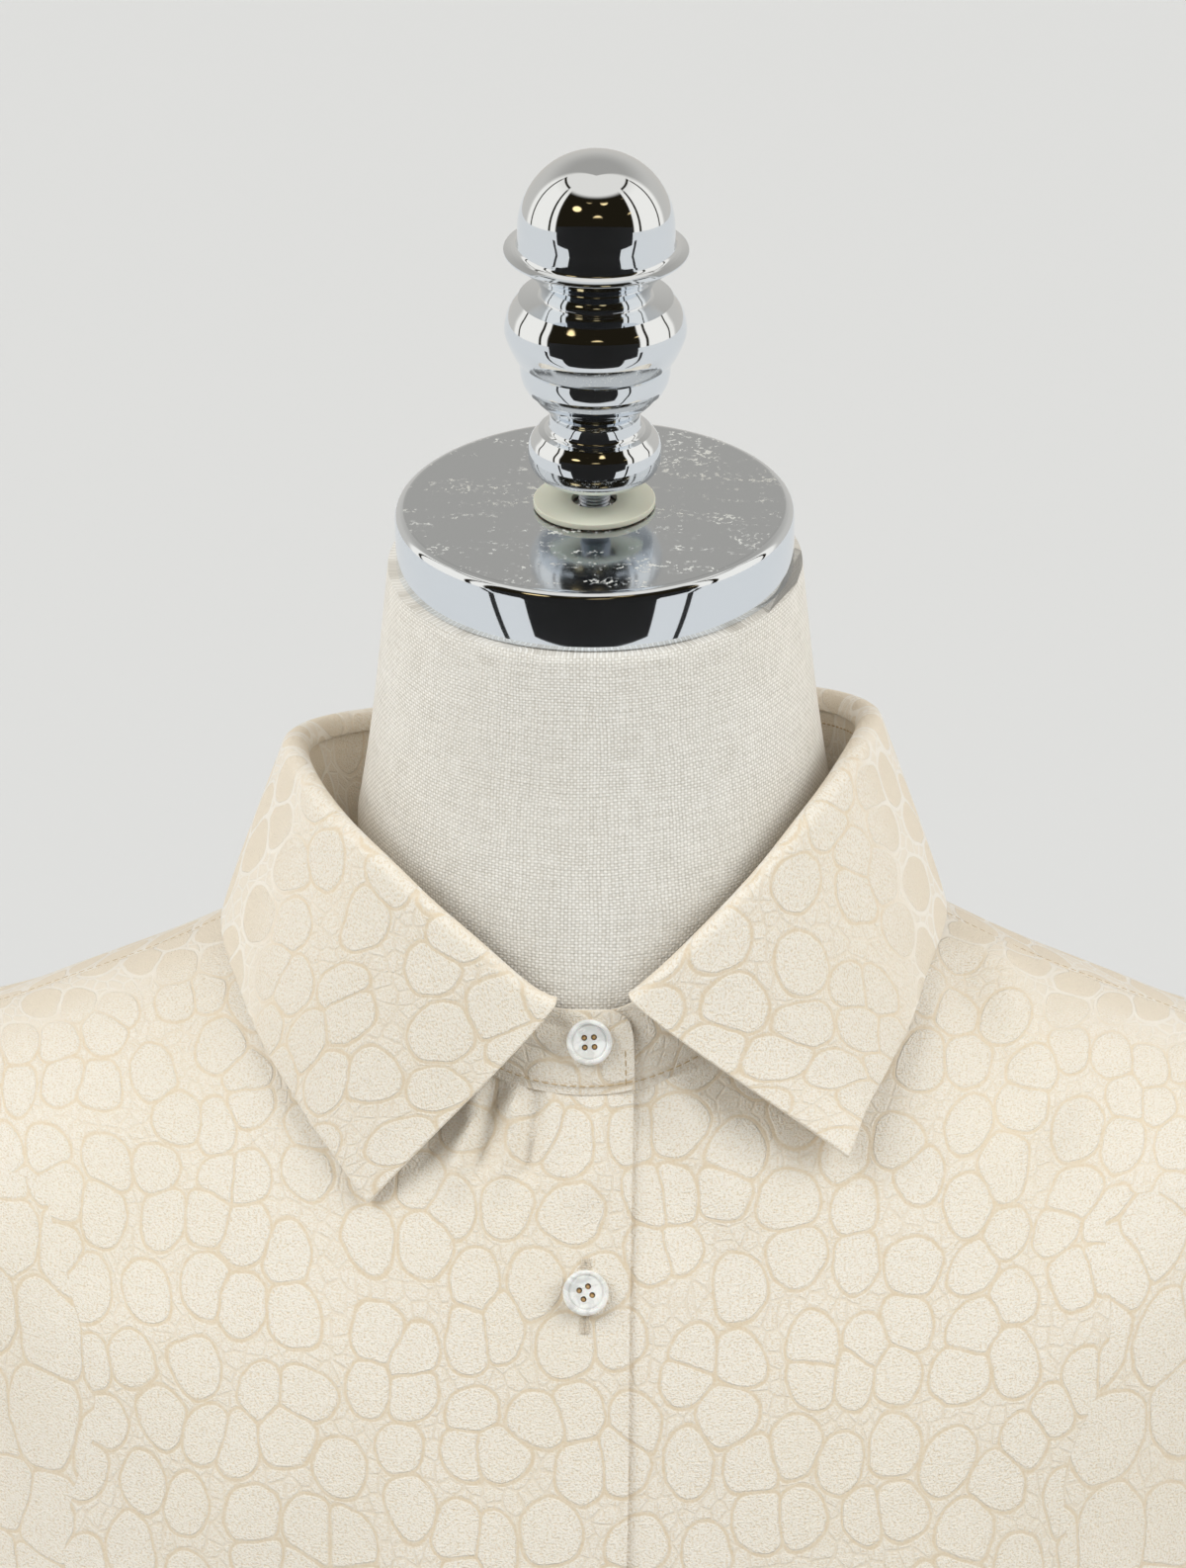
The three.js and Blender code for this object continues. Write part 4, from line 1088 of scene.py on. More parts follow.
def satin_piece(node, outer, uv, broad, rests_on, wall=None, cut=None, **shape):
    """A piece of satin in place of a CAD node, with its pattern's zones.

    Its cut, a width and length in metres given where its UV map is turned, is not used.
    """
    cloth = bpy.context.scene.blouse_cloth
    name = f"{node}_cloth"
    zones = {"broad": np.broadcast_to(broad, outer.shape[:2])}
    piece = cloth_piece(
        name, outer, satin_material(cloth), wall or cloth.wall, {"cloth": uv}, zones, **shape)
    finish_mesh(piece, name, "satin", node)
    *measured, area = cut_size(piece)


def body_sheet(node, angle, s, lift, creases, rests_on, flip=False):
    """A panel on the body's surface, with its creases."""
    outer = body_point(angle, s, lift)
    depth = crease_depth(outer[..., 0], outer[..., 2], creases)
    edge = smooth(np.minimum(arc(outer, 1), arc(outer[:, ::-1], 1)[:, ::-1]) / 14)
    outer = outer + body_normal(angle, s) * (depth * mix(0.25, 1, edge))[..., None]
    broad = broad_scales(outer[..., 0], outer[..., 2])
    satin_piece(node, outer, body_uv(angle, s), broad, rests_on, flip=flip)


def front_grid(upper):
    rings, edge = side_rows(ARMHOLE_FRONT)
    closing = row_at(BODY_RINGS, rings)["closing"]
    start = angle_at_x(closing + (OVERLAP_UPPER if upper else -OVERLAP_LOWER), rings)
    finish = edge - np.pi if upper else -edge
    share = np.linspace(0, 1, 92) ** 0.92
    angle = mix(start[:, None], finish[:, None], share[None])
    s = np.broadcast_to(rings[:, None], angle.shape)
    x = body_face(angle, s)[..., 0]
    to_edge = closing[:, None] + OVERLAP_UPPER - x
    lift = layer_lift(x) - 0.6 * smooth(1 - to_edge / 6) if upper else np.zeros_like(x)
    return angle, s, lift


def yoke_and_back_grids(columns=145):
    """The angles and rings of the yoke, and those of the back."""
    across = np.linspace(-1, 1, columns)
    share = 1 - np.abs(across)
    left = across < 0

    def back_angle(edge):
        turn = mix(edge[:, None], np.pi / 2, share[None])
        return np.where(left[None], turn, np.pi - turn)

    rings, edge = side_rows(ARMHOLE_BACK)
    seam_s = armhole_ring(YOKE_SEAM_STEP)
    seam_edge = armhole_angle(np.array(YOKE_SEAM_STEP), ARMHOLE_BACK)
    level = ring_at_height(mix(seam_edge, np.pi / 2, share), YOKE_SEAM_Z, 1, UNDERARM)
    seam_ring = mix(seam_s, level, smooth(share * 3))
    above = rings <= seam_s + 1e-6
    high, high_edge = np.append(rings[above], seam_s), np.append(edge[above], seam_edge)
    low, low_edge = np.append(seam_s, rings[~above]), np.append(seam_edge, edge[~above])
    yoke_s = (high / seam_s)[:, None] * seam_ring[None]
    fall = ((low - seam_s) / (UNDERARM - seam_s))[:, None]
    start = (seam_ring + SEAM_GAP / 40)[None]
    back_s = np.where(fall < 1, mix(start, float(UNDERARM), fall), low[:, None])
    return (back_angle(high_edge), yoke_s), (back_angle(low_edge), back_s)


def stand_shape(angle):
    return line_at(STAND_SHAPE, "at", (np.degrees(angle) + 270) % 360 - 270, 5)


def stand_point(angle, rise, lift=0.0):
    """A point on the collar stand's outer face: rise is 0 at the neck seam and 1 at the fold."""
    angle, rise, lift = np.broadcast_arrays(angle, rise, lift)
    shape = stand_shape(angle)
    zero = np.zeros(angle.shape)
    foot = body_face(angle, zero)
    out = stack(np.cos(angle), np.sin(angle), 0.0)
    foot_rise = body_normal(angle, zero)[..., 2] * np.maximum(lift, 0)
    place = foot + out * (shape["lean"] * smooth(rise * 0.9) + lift)[..., None]
    place[..., 2] += STAND_GAP + foot_rise + shape["height"] * rise
    return place


def front_centre():
    """The angle of the front's closing at the neck."""
    return angle_at_x(BODY_RINGS["closing"][0], 0.0)


def stand_turns(along):
    closing = BODY_RINGS["closing"][0]
    start = angle_at_x(closing + OVERLAP_UPPER, 0.0)
    finish = angle_at_x(closing - OVERLAP_LOWER, 0.0) - 2 * np.pi
    return mix(start, finish, along)


def stand_lift(angle, along):
    return np.where(along < 0.5, layer_lift(body_face(angle, np.zeros(angle.shape))[..., 0]), 0.0)


STAND_CORNER = 8.4
STAND_LAP = -0.055
# On the stand, a runs back from its right end and d up from the neck seam
STAND_CREASES = table(
    "a0 d0 a1 d1 bow width height",
    (15, 14.5, 34, 17, 0.8, 1.2, -0.9),
    (16, 11.5, 36, 13.5, -0.6, 1.3, 0.8),
    (17, 8.5, 31, 9.5, 0.5, 1.1, -0.6),
    (4, 6, 14, 4, 0.6, 1.6, 0.3),
    (60, 6, 84, 15, 1.5, 2.4, -0.5),
    (120, 5, 150, 14, -1.5, 2.6, 0.5),
    (230, 15, 262, 6, 1.5, 2.4, -0.5),
    (330, 6, 352, 15, -1.4, 2.2, 0.5),
)


def stand_grid():
    along = np.linspace(0, 1, 420)
    along = mix(along, smooth(along), 0.35)
    angle = stand_turns(along)
    foot = stand_point(angle, np.zeros(angle.shape), stand_lift(angle, along))
    run = arc(foot, 0)
    to_end = np.minimum(run, run[-1] - run)
    height = stand_shape(angle)["height"]
    missing = np.clip(STAND_CORNER - to_end, 0, STAND_CORNER)
    top = 1 - (STAND_CORNER - np.sqrt(STAND_CORNER**2 - missing**2)) / height
    rise = np.linspace(STAND_LAP, 1, 19)[:, None] * top[None]
    angles = np.broadcast_to(angle[None], rise.shape)
    lap = 0.45 * (1 - smooth((rise - STAND_LAP) * 14))
    down = rise * height[None]
    lifts = stand_lift(angle, along)[None] + lap + crease_depth(run[None] + 0 * down, down, STAND_CREASES)
    return stand_point(angles, rise, lifts), angle, lifts


def bezier(a, b, c, d, share):
    t = share.reshape((-1,) + (1,) * a.ndim)
    return (1 - t) ** 3 * a + 3 * (1 - t) ** 2 * t * b + 3 * (1 - t) * t**2 * c + t**3 * d


def leaf_columns(along, side):
    """Columns of the collar leaf, from the stand over the roll to its outer edge: rows, columns, xyz."""
    row = line_at(LEAF[side], "along", along, 0.03)
    fold_turn, edge_turn = np.radians(row["fold"]), np.radians(row["edge"])
    if side == "right":
        fold_turn, edge_turn = np.pi - fold_turn, np.pi - edge_turn
    out = stack(np.cos(fold_turn), np.sin(fold_turn), 0.0)
    up = np.array([0.0, 0.0, 1.0])
    fold = stand_point(fold_turn, np.ones(along.shape), LAYER_STEP * smooth((along - 0.7) * 4))
    start = fold - out * 1.2 + up * 0.15
    rise = (ROLL_RISE * row["roll"])[:, None]
    turn_down = fold + out * (ROLL_OUT - 0.1) + up * (rise + 0.3)
    edge = body_point(edge_turn, row["ring"], row["lift"])
    chord = edge - turn_down
    length = np.linalg.norm(chord, axis=-1, keepdims=True)
    roll = row["roll"][:, None]
    leaving = turn_down + chord * mix(0.3, 0.16, roll) + out * length * 0.06 - up * 0.16 * length * roll
    landing = edge - chord * 0.3 + body_normal(edge_turn, row["ring"]) * length * LEAF_BULGE
    hang = bezier(turn_down, leaving, landing, edge, np.linspace(0, 1, 44))
    first = unit(leaving - turn_down)
    crown = up * (rise * 1.3 + 1.6) + out * 0.3
    over = bezier(start, start + crown, turn_down - first * 1.7, turn_down, np.linspace(0, 1, 9))
    return np.concatenate([over[:-1], hang])


def leaf_grid(half=118):
    share = np.linspace(0, 1, half + 1)
    along = 1 - (1 - share) ** 1.25
    right = leaf_columns(along, "right")
    left = leaf_columns(along, "left")
    return np.concatenate([right[:, :0:-1], left], axis=1), half


def armhole_edge(turn):
    """The armhole's edge on the wearer's left, at a turn from the shoulder point round by the front."""
    front = turn <= np.pi
    share = np.where(front, turn, 2 * np.pi - turn) / np.pi
    s = armhole_ring(share)
    angle = np.where(front, -armhole_angle(share, ARMHOLE_FRONT), armhole_angle(share, ARMHOLE_BACK))
    return body_face(angle, s)


def sleeve_tube(s, turn):
    """The sleeve's plain tube at a row of its table and a turn round it."""
    ring = row_at(SLEEVE_RINGS, s)
    out = folds_at(SLEEVE_FOLDS, np.degrees(turn), s)
    top = stack(ring["out_x"], ring["mid_y"], ring["out_z"])
    low = stack(ring["in_x"], ring["mid_y"], ring["in_z"])
    middle = (top + low) / 2
    reach = top - middle
    length = np.linalg.norm(reach, axis=-1, keepdims=True)
    swing = reach * (1 + out[..., None] / length) * np.cos(turn)[..., None]
    return middle + swing + stack(0.0, -(ring["half_y"] + out * 0.5) * np.sin(turn), 0.0)


def sleeve_grid(rows=136, columns=144):
    """The wearer's left sleeve without creases, and its turns and rings."""
    turn = np.linspace(0, 2 * np.pi, columns, endpoint=False)
    place = armhole_edge(turn)
    centre = place.mean(axis=0)
    first = place + unit(centre - place) * SEAM_GAP * 1.7
    s = SLEEVE_END * (np.arange(rows + 1) / rows) ** 1.15
    turns, rings = np.meshgrid(turn, s)
    own = 1 - smooth((rings + 0.7) / SLEEVE_BLEND)
    shift = first - sleeve_tube(np.zeros(columns), turn)
    shift[:, 0] = 0
    tube = sleeve_tube(rings, turns) + shift[None] * own[..., None] * 0.8
    head = np.linspace(0, 1, 7)[1:-1, None, None]
    grid = np.concatenate([first[None], mix(first[None], tube[:1], head), tube])
    for _ in range(24):
        eased = (grid[:-2] + 2 * grid[1:-1] + grid[2:]) / 4
        fade = smooth(1 - np.arange(1, len(grid) - 1) / 26)[:, None, None]
        grid[1:-1] = mix(grid[1:-1], eased, fade)
    turns, rings = np.meshgrid(turn, np.concatenate([np.zeros(6), rings[:, 0]]))
    return grid, turns, rings


def sleeve_surface():
    """The wearer's left sleeve with its creases, its end tucked into the cuff, and the turn in degrees."""
    grid, turns, rings = sleeve_grid()
    degrees = np.degrees(turns)
    normals = grid_normals(grid, wraps=True)
    if faces_in(grid, wraps=True):
        normals = -normals
    depth = crease_depth(degrees * TURN_MM, rings * RING_MM, SLEEVE_CREASES)
    for at, width in CUFF_PLEATS:
        aside = turn_between(degrees, at) * TURN_MM
        depth -= PLEAT_DEPTH * np.exp(-((aside / width) ** 2)) * smooth((rings - 8.4) / 1.2)
    depth *= smooth(rings / 0.8) * mix(1, 0.35, smooth((rings - 9.2) / 0.8))
    surface = grid + normals * depth[..., None]
    inwards = unit(surface[-1].mean(axis=0) - surface[-1]) * TUCK_IN + np.array([0, 0, -TUCK_DOWN])
    tucked = [surface[-1] + inwards * share for share in (0.5, 1.0)]
    return np.concatenate([surface, tucked]), np.concatenate([degrees, degrees[-2:]])


def cuff_point(turn, down, lift):
    end = row_at(SLEEVE_RINGS, float(SLEEVE_END))
    half_x = (end["out_x"] - end["in_x"]) / 2 + CUFF["flare"] * down
    middle = stack((end["out_x"] + end["in_x"]) / 2, end["mid_y"], (end["out_z"] + end["in_z"]) / 2)
    out = stack(np.cos(turn) * half_x, -np.sin(turn) * end["half_y"], 0.0)
    length = np.linalg.norm(out, axis=-1, keepdims=True)
    drop = stack(0.0, 0.0, -1.4 - CUFF["height"] * down)
    return middle + out * (1 + np.asarray(lift)[..., None] / length) + drop


def cuff_lift(along):
    return CUFF["step"] * (1 - along)


def cuff_turn(along):
    return math.radians(CUFF["opening"]) + (2 * np.pi + CUFF["overlap"] / 40) * along


def mirror_x(points):
    return points * np.array([-1.0, 1.0, 1.0])


def turned(outline, material, sides, sharp):
    """A turned piece about Z from (radius, height) in mm: a circle, extruded from ring to ring."""
    clear_selection()
    radius, height = outline[0]
    bpy.ops.mesh.primitive_circle_add(
        vertices=sides, radius=radius * MM, fill_type="NGON", location=(0, 0, height * MM))
    piece = bpy.context.active_object
    bpy.ops.object.transform_apply(location=True, rotation=False, scale=False)
    open_mesh()
    for new_radius, new_height in outline[1:]:
        bpy.ops.mesh.extrude_region_move(
            TRANSFORM_OT_translate={"value": (0, 0, (new_height - height) * MM)})
        grow = new_radius / radius
        bpy.ops.transform.resize(value=(grow, grow, 1), center_override=(0, 0, new_height * MM))
        radius, height = new_radius, new_height
    bpy.ops.mesh.select_all(action="SELECT")
    bpy.ops.mesh.normals_make_consistent(inside=False)
    close_mesh()
    bpy.ops.object.shade_smooth_by_angle(angle=math.radians(sharp))
    piece.data.materials.append(material)
    return piece


def eased_outline(rows, steps=5):
    """An outline through rows of (radius, height, corner), curved between the rows marked as corners."""
    points = [rows[0][:2]]
    start = 0
    for end in range(1, len(rows)):
        if not rows[end][2] and end < len(rows) - 1:
            continue
        stretch = np.array([row[:2] for row in rows[start:end + 1]], float)
        if len(stretch) == 2:
            points.append(tuple(stretch[1]))
        else:
            curve = {"radius": stretch[:, 0], "height": stretch[:, 1]}
            share = np.linspace(0, len(stretch) - 1, steps * (len(stretch) - 1) + 1)[1:]
            found = row_at(curve, share)
            points += list(zip(found["radius"], found["height"]))
        start = end
    return [(float(r), float(h)) for r, h in points]


def neck_axis():
    """The place and tilt of the neck's cut."""
    top = Matrix.Translation((0, FORM_RINGS["y"][0] * MM, FORM_RINGS["z"][0] * MM))
    return top @ Matrix.Rotation(math.radians(NECK_TILT), 4, "X")


def up_neck(height):
    return neck_axis() @ Matrix.Translation((0, 0, height * MM))


def finial_axis(height):
    lean = Matrix.Rotation(math.radians(FINIAL_LEAN), 4, "Y")
    return up_neck(FIT_GAP + CAP_HEIGHT) @ lean @ Matrix.Translation((0, 0, height * MM))


FINIAL_OUTLINE = (
    (12.2, 0, 1),
    (13.4, 0.26, 0),
    (14.8, 1.02, 0),
    (16.4, 3.47, 0),
    (16.8, 6.54, 0),
    (16.1, 9.81, 0),
    (14.2, 12.26, 1),
    (12.7, 12.57, 1),
    (11.6, 13.8, 0),
    (11.5, 17.37, 0),
    (13.1, 19.72, 0),
    (15, 21.67, 0),
    (16.8, 24.12, 1),
    (17.5, 24.53, 1),
    (18.4, 26.57, 0),
    (18.8, 29.02, 0),
    (18.7, 31.48, 1),
    (20.3, 33.42, 0),
    (22.2, 37.61, 0),
    (22.7, 40.57, 0),
    (21.6, 44.76, 0),
    (19.3, 48.34, 1),
    (14.4, 48.95, 1),
    (13.7, 49.57, 0),
    (13.9, 51.61, 0),
    (15.2, 54.27, 0),
    (17.2, 56.52, 0),
    (21.3, 59.89, 0),
    (22.8, 60.91, 0),
    (22.9, 61.42, 1),
    (21.1, 61.73, 1),
    (20, 62.55, 0),
    (19.6, 63.98, 1),
)
BALL_RADIUS = 19.5
BALL_CENTRE = 67


def finial_outline():
    rise = np.radians(np.linspace(0, 88.5, 26))
    ball = zip(BALL_RADIUS * np.cos(rise), BALL_CENTRE + BALL_RADIUS * np.sin(rise))
    return eased_outline(FINIAL_OUTLINE) + [(float(r), float(h)) for r, h in ball]


def thread_outline(radius, length, pitch=0.9, depth=0.38):
    """The outline of a cut thread."""
    points = [(radius - depth, 0)]
    for k in range(int(length / pitch)):
        low = k * pitch
        points += [(radius, low + pitch * 0.4), (radius, low + pitch * 0.55), (radius - depth, low + pitch)]
    return points


def rounded_rim(radius, height, round_low, round_high, steps=5):
    """The outline of a disc with round edges, from its underside to its top."""
    turns = np.linspace(0, math.pi / 2, steps)
    low = [(radius - round_low * (1 - math.sin(t)), round_low * (1 - math.cos(t))) for t in turns]
    high = [
        (radius - round_high * (1 - math.cos(t)), height - round_high * (1 - math.sin(t))) for t in turns]
    return low + high


BUTTON_FACE = (
    (3.9, 0, 1),
    (4.9, 0.35, 0),
    (5.55, 1.0, 0),
    (5.7, 1.5, 0),
    (5.6, 2.05, 0),
    (5.3, 2.4, 0),
    (4.95, 2.5, 0),
    (4.65, 2.44, 1),
    (4.42, 1.98, 0),
    (4.2, 1.9, 0),
    (3.9, 2.02, 1),
    (3.0, 1.86, 0),
    (1.9, 1.74, 0),
    (0.3, 1.7, 1),
)
BUTTON_RADIUS = 5.7
BUTTON_THICK = 2.5
BUTTON_HOLE_SPREAD = 1.2
BUTTON_LIFT = 0.4
BUTTON_SHARP = 40
PLUG_RADIUS = 0.68
PLUG_HEIGHT = 0.45
PLUG_STRETCH = 1.25


def hole_places(height):
    """The middles of a button's four holes, in metres."""
    spread = BUTTON_HOLE_SPREAD * MM
    return [(x * spread, y * spread, height * MM) for x in (1, -1) for y in (1, -1)]


def button_mesh():
    """One four-hole shell button, face up, its holes cut with cylinders."""
    button = bpy.context.scene.blouse_button
    wide, thick = button.radius / (BUTTON_RADIUS * MM), button.thick / (BUTTON_THICK * MM)
    outline = [(r * wide, h * thick) for r, h in eased_outline(BUTTON_FACE, 4)]
    piece = turned(outline, pearl_material(), sides=56, sharp=BUTTON_SHARP)
    cutters = []
    for place in hole_places(0):
        bpy.ops.mesh.primitive_cylinder_add(vertices=20, radius=button.hole, depth=12 * MM, location=place)
        cutters.append(bpy.context.active_object)
    cutter = joined(cutters)
    cut = piece.modifiers.new("holes", "BOOLEAN")
    cut.object = cutter
    cut.operation = "DIFFERENCE"
    cut.solver = "EXACT"
    apply_modifiers(piece)
    bpy.data.objects.remove(cutter)
    take(piece)
    bpy.ops.object.shade_smooth_by_angle(angle=math.radians(BUTTON_SHARP))
    return taken_mesh(piece)


def thread_plugs():
    """The thread that fills a button's holes, below its face, and its shank under the button."""
    parts = []
    for place in hole_places(PLUG_HEIGHT):
        clear_selection()
        bpy.ops.mesh.primitive_uv_sphere_add(
            segments=12, ring_count=8, radius=PLUG_RADIUS * MM, location=place)
        bpy.ops.transform.resize(value=(1, 1, PLUG_STRETCH), center_override=place)
        parts.append(bpy.context.active_object)
    piece = joined(parts)
    bpy.ops.object.transform_apply(location=True, rotation=True, scale=True)
    bpy.ops.object.shade_smooth()
    piece.data.materials.append(hole_material())
    return taken_mesh(piece)


def facing(place, normal, up, spin=0.0, tilt=(0.0, 0.0)):
    """A matrix that sets a piece's Z on normal and its Y near up, at a place in mm."""
    z = Vector(normal).normalized()
    x = Vector(up).cross(z).normalized()
    y = z.cross(x)
    turn = Matrix((x, y, z)).transposed().to_4x4()
    for degrees, axis in zip((*tilt, spin), "XYZ"):
        turn = turn @ Matrix.Rotation(math.radians(degrees), 4, axis)
    return Matrix.Translation(Vector(place) * MM) @ turn


def copy_mesh(name, mesh, matrix):
    own = mesh.copy()
    own.transform(matrix)
    piece = bpy.data.objects.new(name, own)
    bpy.context.scene.collection.objects.link(piece)
    return piece


def front_button_turns():
    """The angle and ring of each button down the front."""
    start = np.full(len(FRONT_BUTTON_HEIGHTS), front_centre())
    s = ring_at_height(start, np.array(FRONT_BUTTON_HEIGHTS), 0, HEM)
    return list(zip(angle_at_x(row_at(BODY_RINGS, s)["closing"], s), s))


def stand_button_seat():
    """The collar stand's button: its place and the cloth's normal there."""
    face, above = (stand_point(front_centre(), STAND_BUTTON_RISE + up, LAYER_STEP) for up in (0, 0.2))
    return face, unit(np.cross((1, 0, 0), above - face))


def cuff_button_seat():
    """The left cuff's button: its place, and those just before and after it round the cuff."""
    turn = math.radians(CUFF["opening"]) + CUFF["button_turn"]
    return [cuff_point(turn + step, 0.5, CUFF["step"]) for step in (0, -0.05, 0.05)]


def stitch_shape():
    """The points and faces of one small rounded stitch along X, one unit long and two across."""
    rings, sides = 5, 6
    points, faces = [(-0.5, 0, 0)], []
    for k in range(1, rings):
        reach = math.sin(math.pi * k / rings) ** 0.5
        for i in range(sides):
            turn = 2 * math.pi * i / sides
            along = -0.5 * math.cos(math.pi * k / rings)
            points.append((along, reach * math.cos(turn), reach * math.sin(turn)))
    points.append((0.5, 0, 0))
    last = len(points) - 1
    for i in range(sides):
        right = (i + 1) % sides
        faces.append((0, 1 + right, 1 + i))
        faces.append((last, last - sides + i, last - sides + right))
        for k in range(rings - 2):
            low = 1 + k * sides
            faces.append((low + i, low + right, low + sides + right, low + sides + i))
    return np.array(points), faces


def stitches(name, marks, material):
    """One mesh of stitches. Each mark holds a place, a direction, a normal, a length and a radius in mm."""
    shape, faces = stitch_shape()
    points, all_faces = [], []
    for count, (place, along, normal, length, radius) in enumerate(marks):
        side = np.cross(normal, along)
        frame_of = np.stack([along * length, side * radius, normal * radius])
        points.append(shape @ frame_of + place)
        all_faces += [tuple(v + count * len(shape) for v in face) for face in faces]
    return new_mesh(name, np.concatenate(points), all_faces, material)


def stitch_row(path, normals, length=1.75, pitch=2.35, radius=0.2, sink=0.02):
    """Marks for a row of stitches along a path of points in mm, slightly sunk in the cloth."""
    run = arc(path, 0)
    marks = []
    for at in np.arange(pitch * 0.6, run[-1] - pitch * 0.5, pitch):
        ends = [np.array([np.interp(at + step, run, path[:, k]) for k in range(3)]) for step in (-0.5, 0.5)]
        normal = unit(np.array([np.interp(at, run, normals[:, k]) for k in range(3)]))
        along = unit(ends[1] - ends[0])
        normal = unit(normal - along * np.dot(normal, along))
        marks.append(((ends[0] + ends[1]) / 2 - normal * sink, along, normal, length, radius))
    return marks


def buttonhole(centre, along, normal, length, half=1.0, pitch=0.4, radius=0.2):
    """Marks for a worked buttonhole: close stitches across both lips, and a bar at each end."""
    side = np.cross(normal, along)
    marks = []
    for at in np.arange(-length / 2, length / 2 + 0.01, pitch):
        for lip in (-1, 1):
            place = centre + along * at + side * lip * (0.25 + half / 2) + normal * 0.16
            marks.append((place, side, normal, half, radius))
    for end in (-1, 1):
        for step in np.linspace(-half, half, 6):
            place = centre + along * end * (length / 2 + 0.3) + side * step + normal * 0.08
            marks.append((place, along, normal, 1.1, radius))
    return marks


def form_point(angle, s):
    ring = row_at(FORM_RINGS, s)
    c, n = np.cos(angle), np.sin(angle)
    depth, drop = front_or_back(ring, n)
    return stack(ring["half"] * c, ring["y"] + depth * n, ring["z"] - drop * np.abs(n) ** ring["power"])


class BlouseOperator(bpy.types.Operator):
    """Shared settings of the operators that build the pieces."""

    bl_options = {"REGISTER", "UNDO"}


class BLOUSE_OT_body(BlouseOperator):
    """Builds both fronts, the yoke and the back"""

    bl_idname = "blouse.body"
    bl_label = "Fronts, yoke and back"

    def execute(self, context):
        for side, upper in (("right", True), ("left", False)):
            body_sheet(f"front_{side}", *front_grid(upper), FRONT_CREASES, "yoke_cloth", flip=upper)
        yoke, back = yoke_and_back_grids()
        body_sheet("yoke", *yoke, 0.0, BACK_CREASES, "form_cover")
        body_sheet("back", *back, 0.0, BACK_CREASES, "yoke_cloth")
        return {"FINISHED"}


# How far the collar's cloth is turned on each side, in degrees
LEAF_SLANT = 38


class BLOUSE_OT_collar(BlouseOperator):
    """Builds the collar stand and the turned-down leaf"""

    bl_idname = "blouse.collar"
    bl_label = "Collar"

    def execute(self, context):
        wall = context.scene.blouse_cloth.collar_wall
        outer, _, _ = stand_grid()
        uv = flat_place(arc(outer, 1)[:1], arc(outer, 0))
        satin_piece("collar_stand", outer, uv + 0.31, -1.0, "yoke_cloth", wall, edge=0.4)
        grid, half = leaf_grid()
        run, down = arc(grid, 1)[len(grid) // 2], arc(grid, 0)
        across = run - run[half]
        uv = flat_place(across, down)
        turn = np.radians(LEAF_SLANT) * np.sign(across)
        c, n = np.cos(turn), np.sin(turn)
        slant = np.stack([uv[..., 0] * c - uv[..., 1] * n, uv[..., 0] * n + uv[..., 1] * c], axis=-1)
        cut = (float(run[-1]) * MM, float(down.max()) * MM)
        satin_piece("collar", grid, slant + 0.77, -1.0, "collar_stand_cloth", wall, cut, edge=0.45)
        return {"FINISHED"}


class BLOUSE_OT_sleeves(BlouseOperator):
    """Builds the sleeves and the cuffs"""

    bl_idname = "blouse.sleeves"
    bl_label = "Sleeves and cuffs"

    def execute(self, context):
        grid, degrees = sleeve_surface()
        uv = flat_place(degrees * TURN_MM, arc(grid, 0))
        for side, points, shift in (("left", grid, 1.3), ("right", mirror_x(grid), 2.4)):
            flip = faces_in(points, wraps=True)
            satin_piece(f"sleeve_{side}", points, uv + shift, 1.0, "yoke_cloth", wraps=True, flip=flip)
        along, drop = np.meshgrid(np.linspace(0, 1, 200), np.linspace(0, 1, 24))
        face = cuff_point(cuff_turn(along), drop, cuff_lift(along))
        uv = flat_place(arc(face, 1), arc(face, 0))
        for side, points, shift in (("left", face, 3.1), ("right", mirror_x(face), 3.7)):
            sleeve, wall = f"sleeve_{side}_cloth", CUFF["wall"] * MM
            satin_piece(
                f"cuff_{side}", points, uv + shift, -1.0, sleeve, wall, flip=faces_in(points), edge=0.45)
        return {"FINISHED"}


UP = (0, 0, 1)
# How each button down the front is turned on its thread, in degrees: spin, and tilt each way
BUTTON_TURNS = ((27, -5, 7), (8, 3, -4), (51, -4, 3), (15, 4, 4), (66, -3, -5), (34, 3, 5), (80, -4, 2))


def row_on_body(angle, s, lift):
    """Places on the body's surface and their normals."""
    return body_point(angle, s, lift), body_normal(angle, s)


class BLOUSE_OT_buttons(BlouseOperator):
    """Builds the shell buttons and the thread that holds them"""

    bl_idname = "blouse.buttons"
    bl_label = "Buttons"

    def execute(self, context):
        mesh, plugs = button_mesh(), thread_plugs()
        places = {"button_stand": (*stand_button_seat(), 4, (0, 2))}
        for k, (angle, s) in enumerate(front_button_turns()):
            spin, *tilt = BUTTON_TURNS[k]
            places[f"button_front_{k + 1}"] = (*row_on_body(angle, s, LAYER_STEP), spin, tilt)
        face, before, after = cuff_button_seat()
        normal = unit(np.cross(UP, after - before))
        places["button_cuff_left"] = (face, normal, 20, (3, 0))
        places["button_cuff_right"] = (mirror_x(face), mirror_x(normal), 60, (-3, 2))
        for name, (place, normal, spin, tilt) in places.items():
            at = facing(place + normal * BUTTON_LIFT, normal, UP, spin, tilt)
            finish_mesh(copy_mesh(f"{name}_shell", mesh, at), f"{name}_shell", "pearl", name)
            finish_mesh(copy_mesh(f"{name}_thread", plugs, at), f"{name}_thread", "satin")
        return {"FINISHED"}


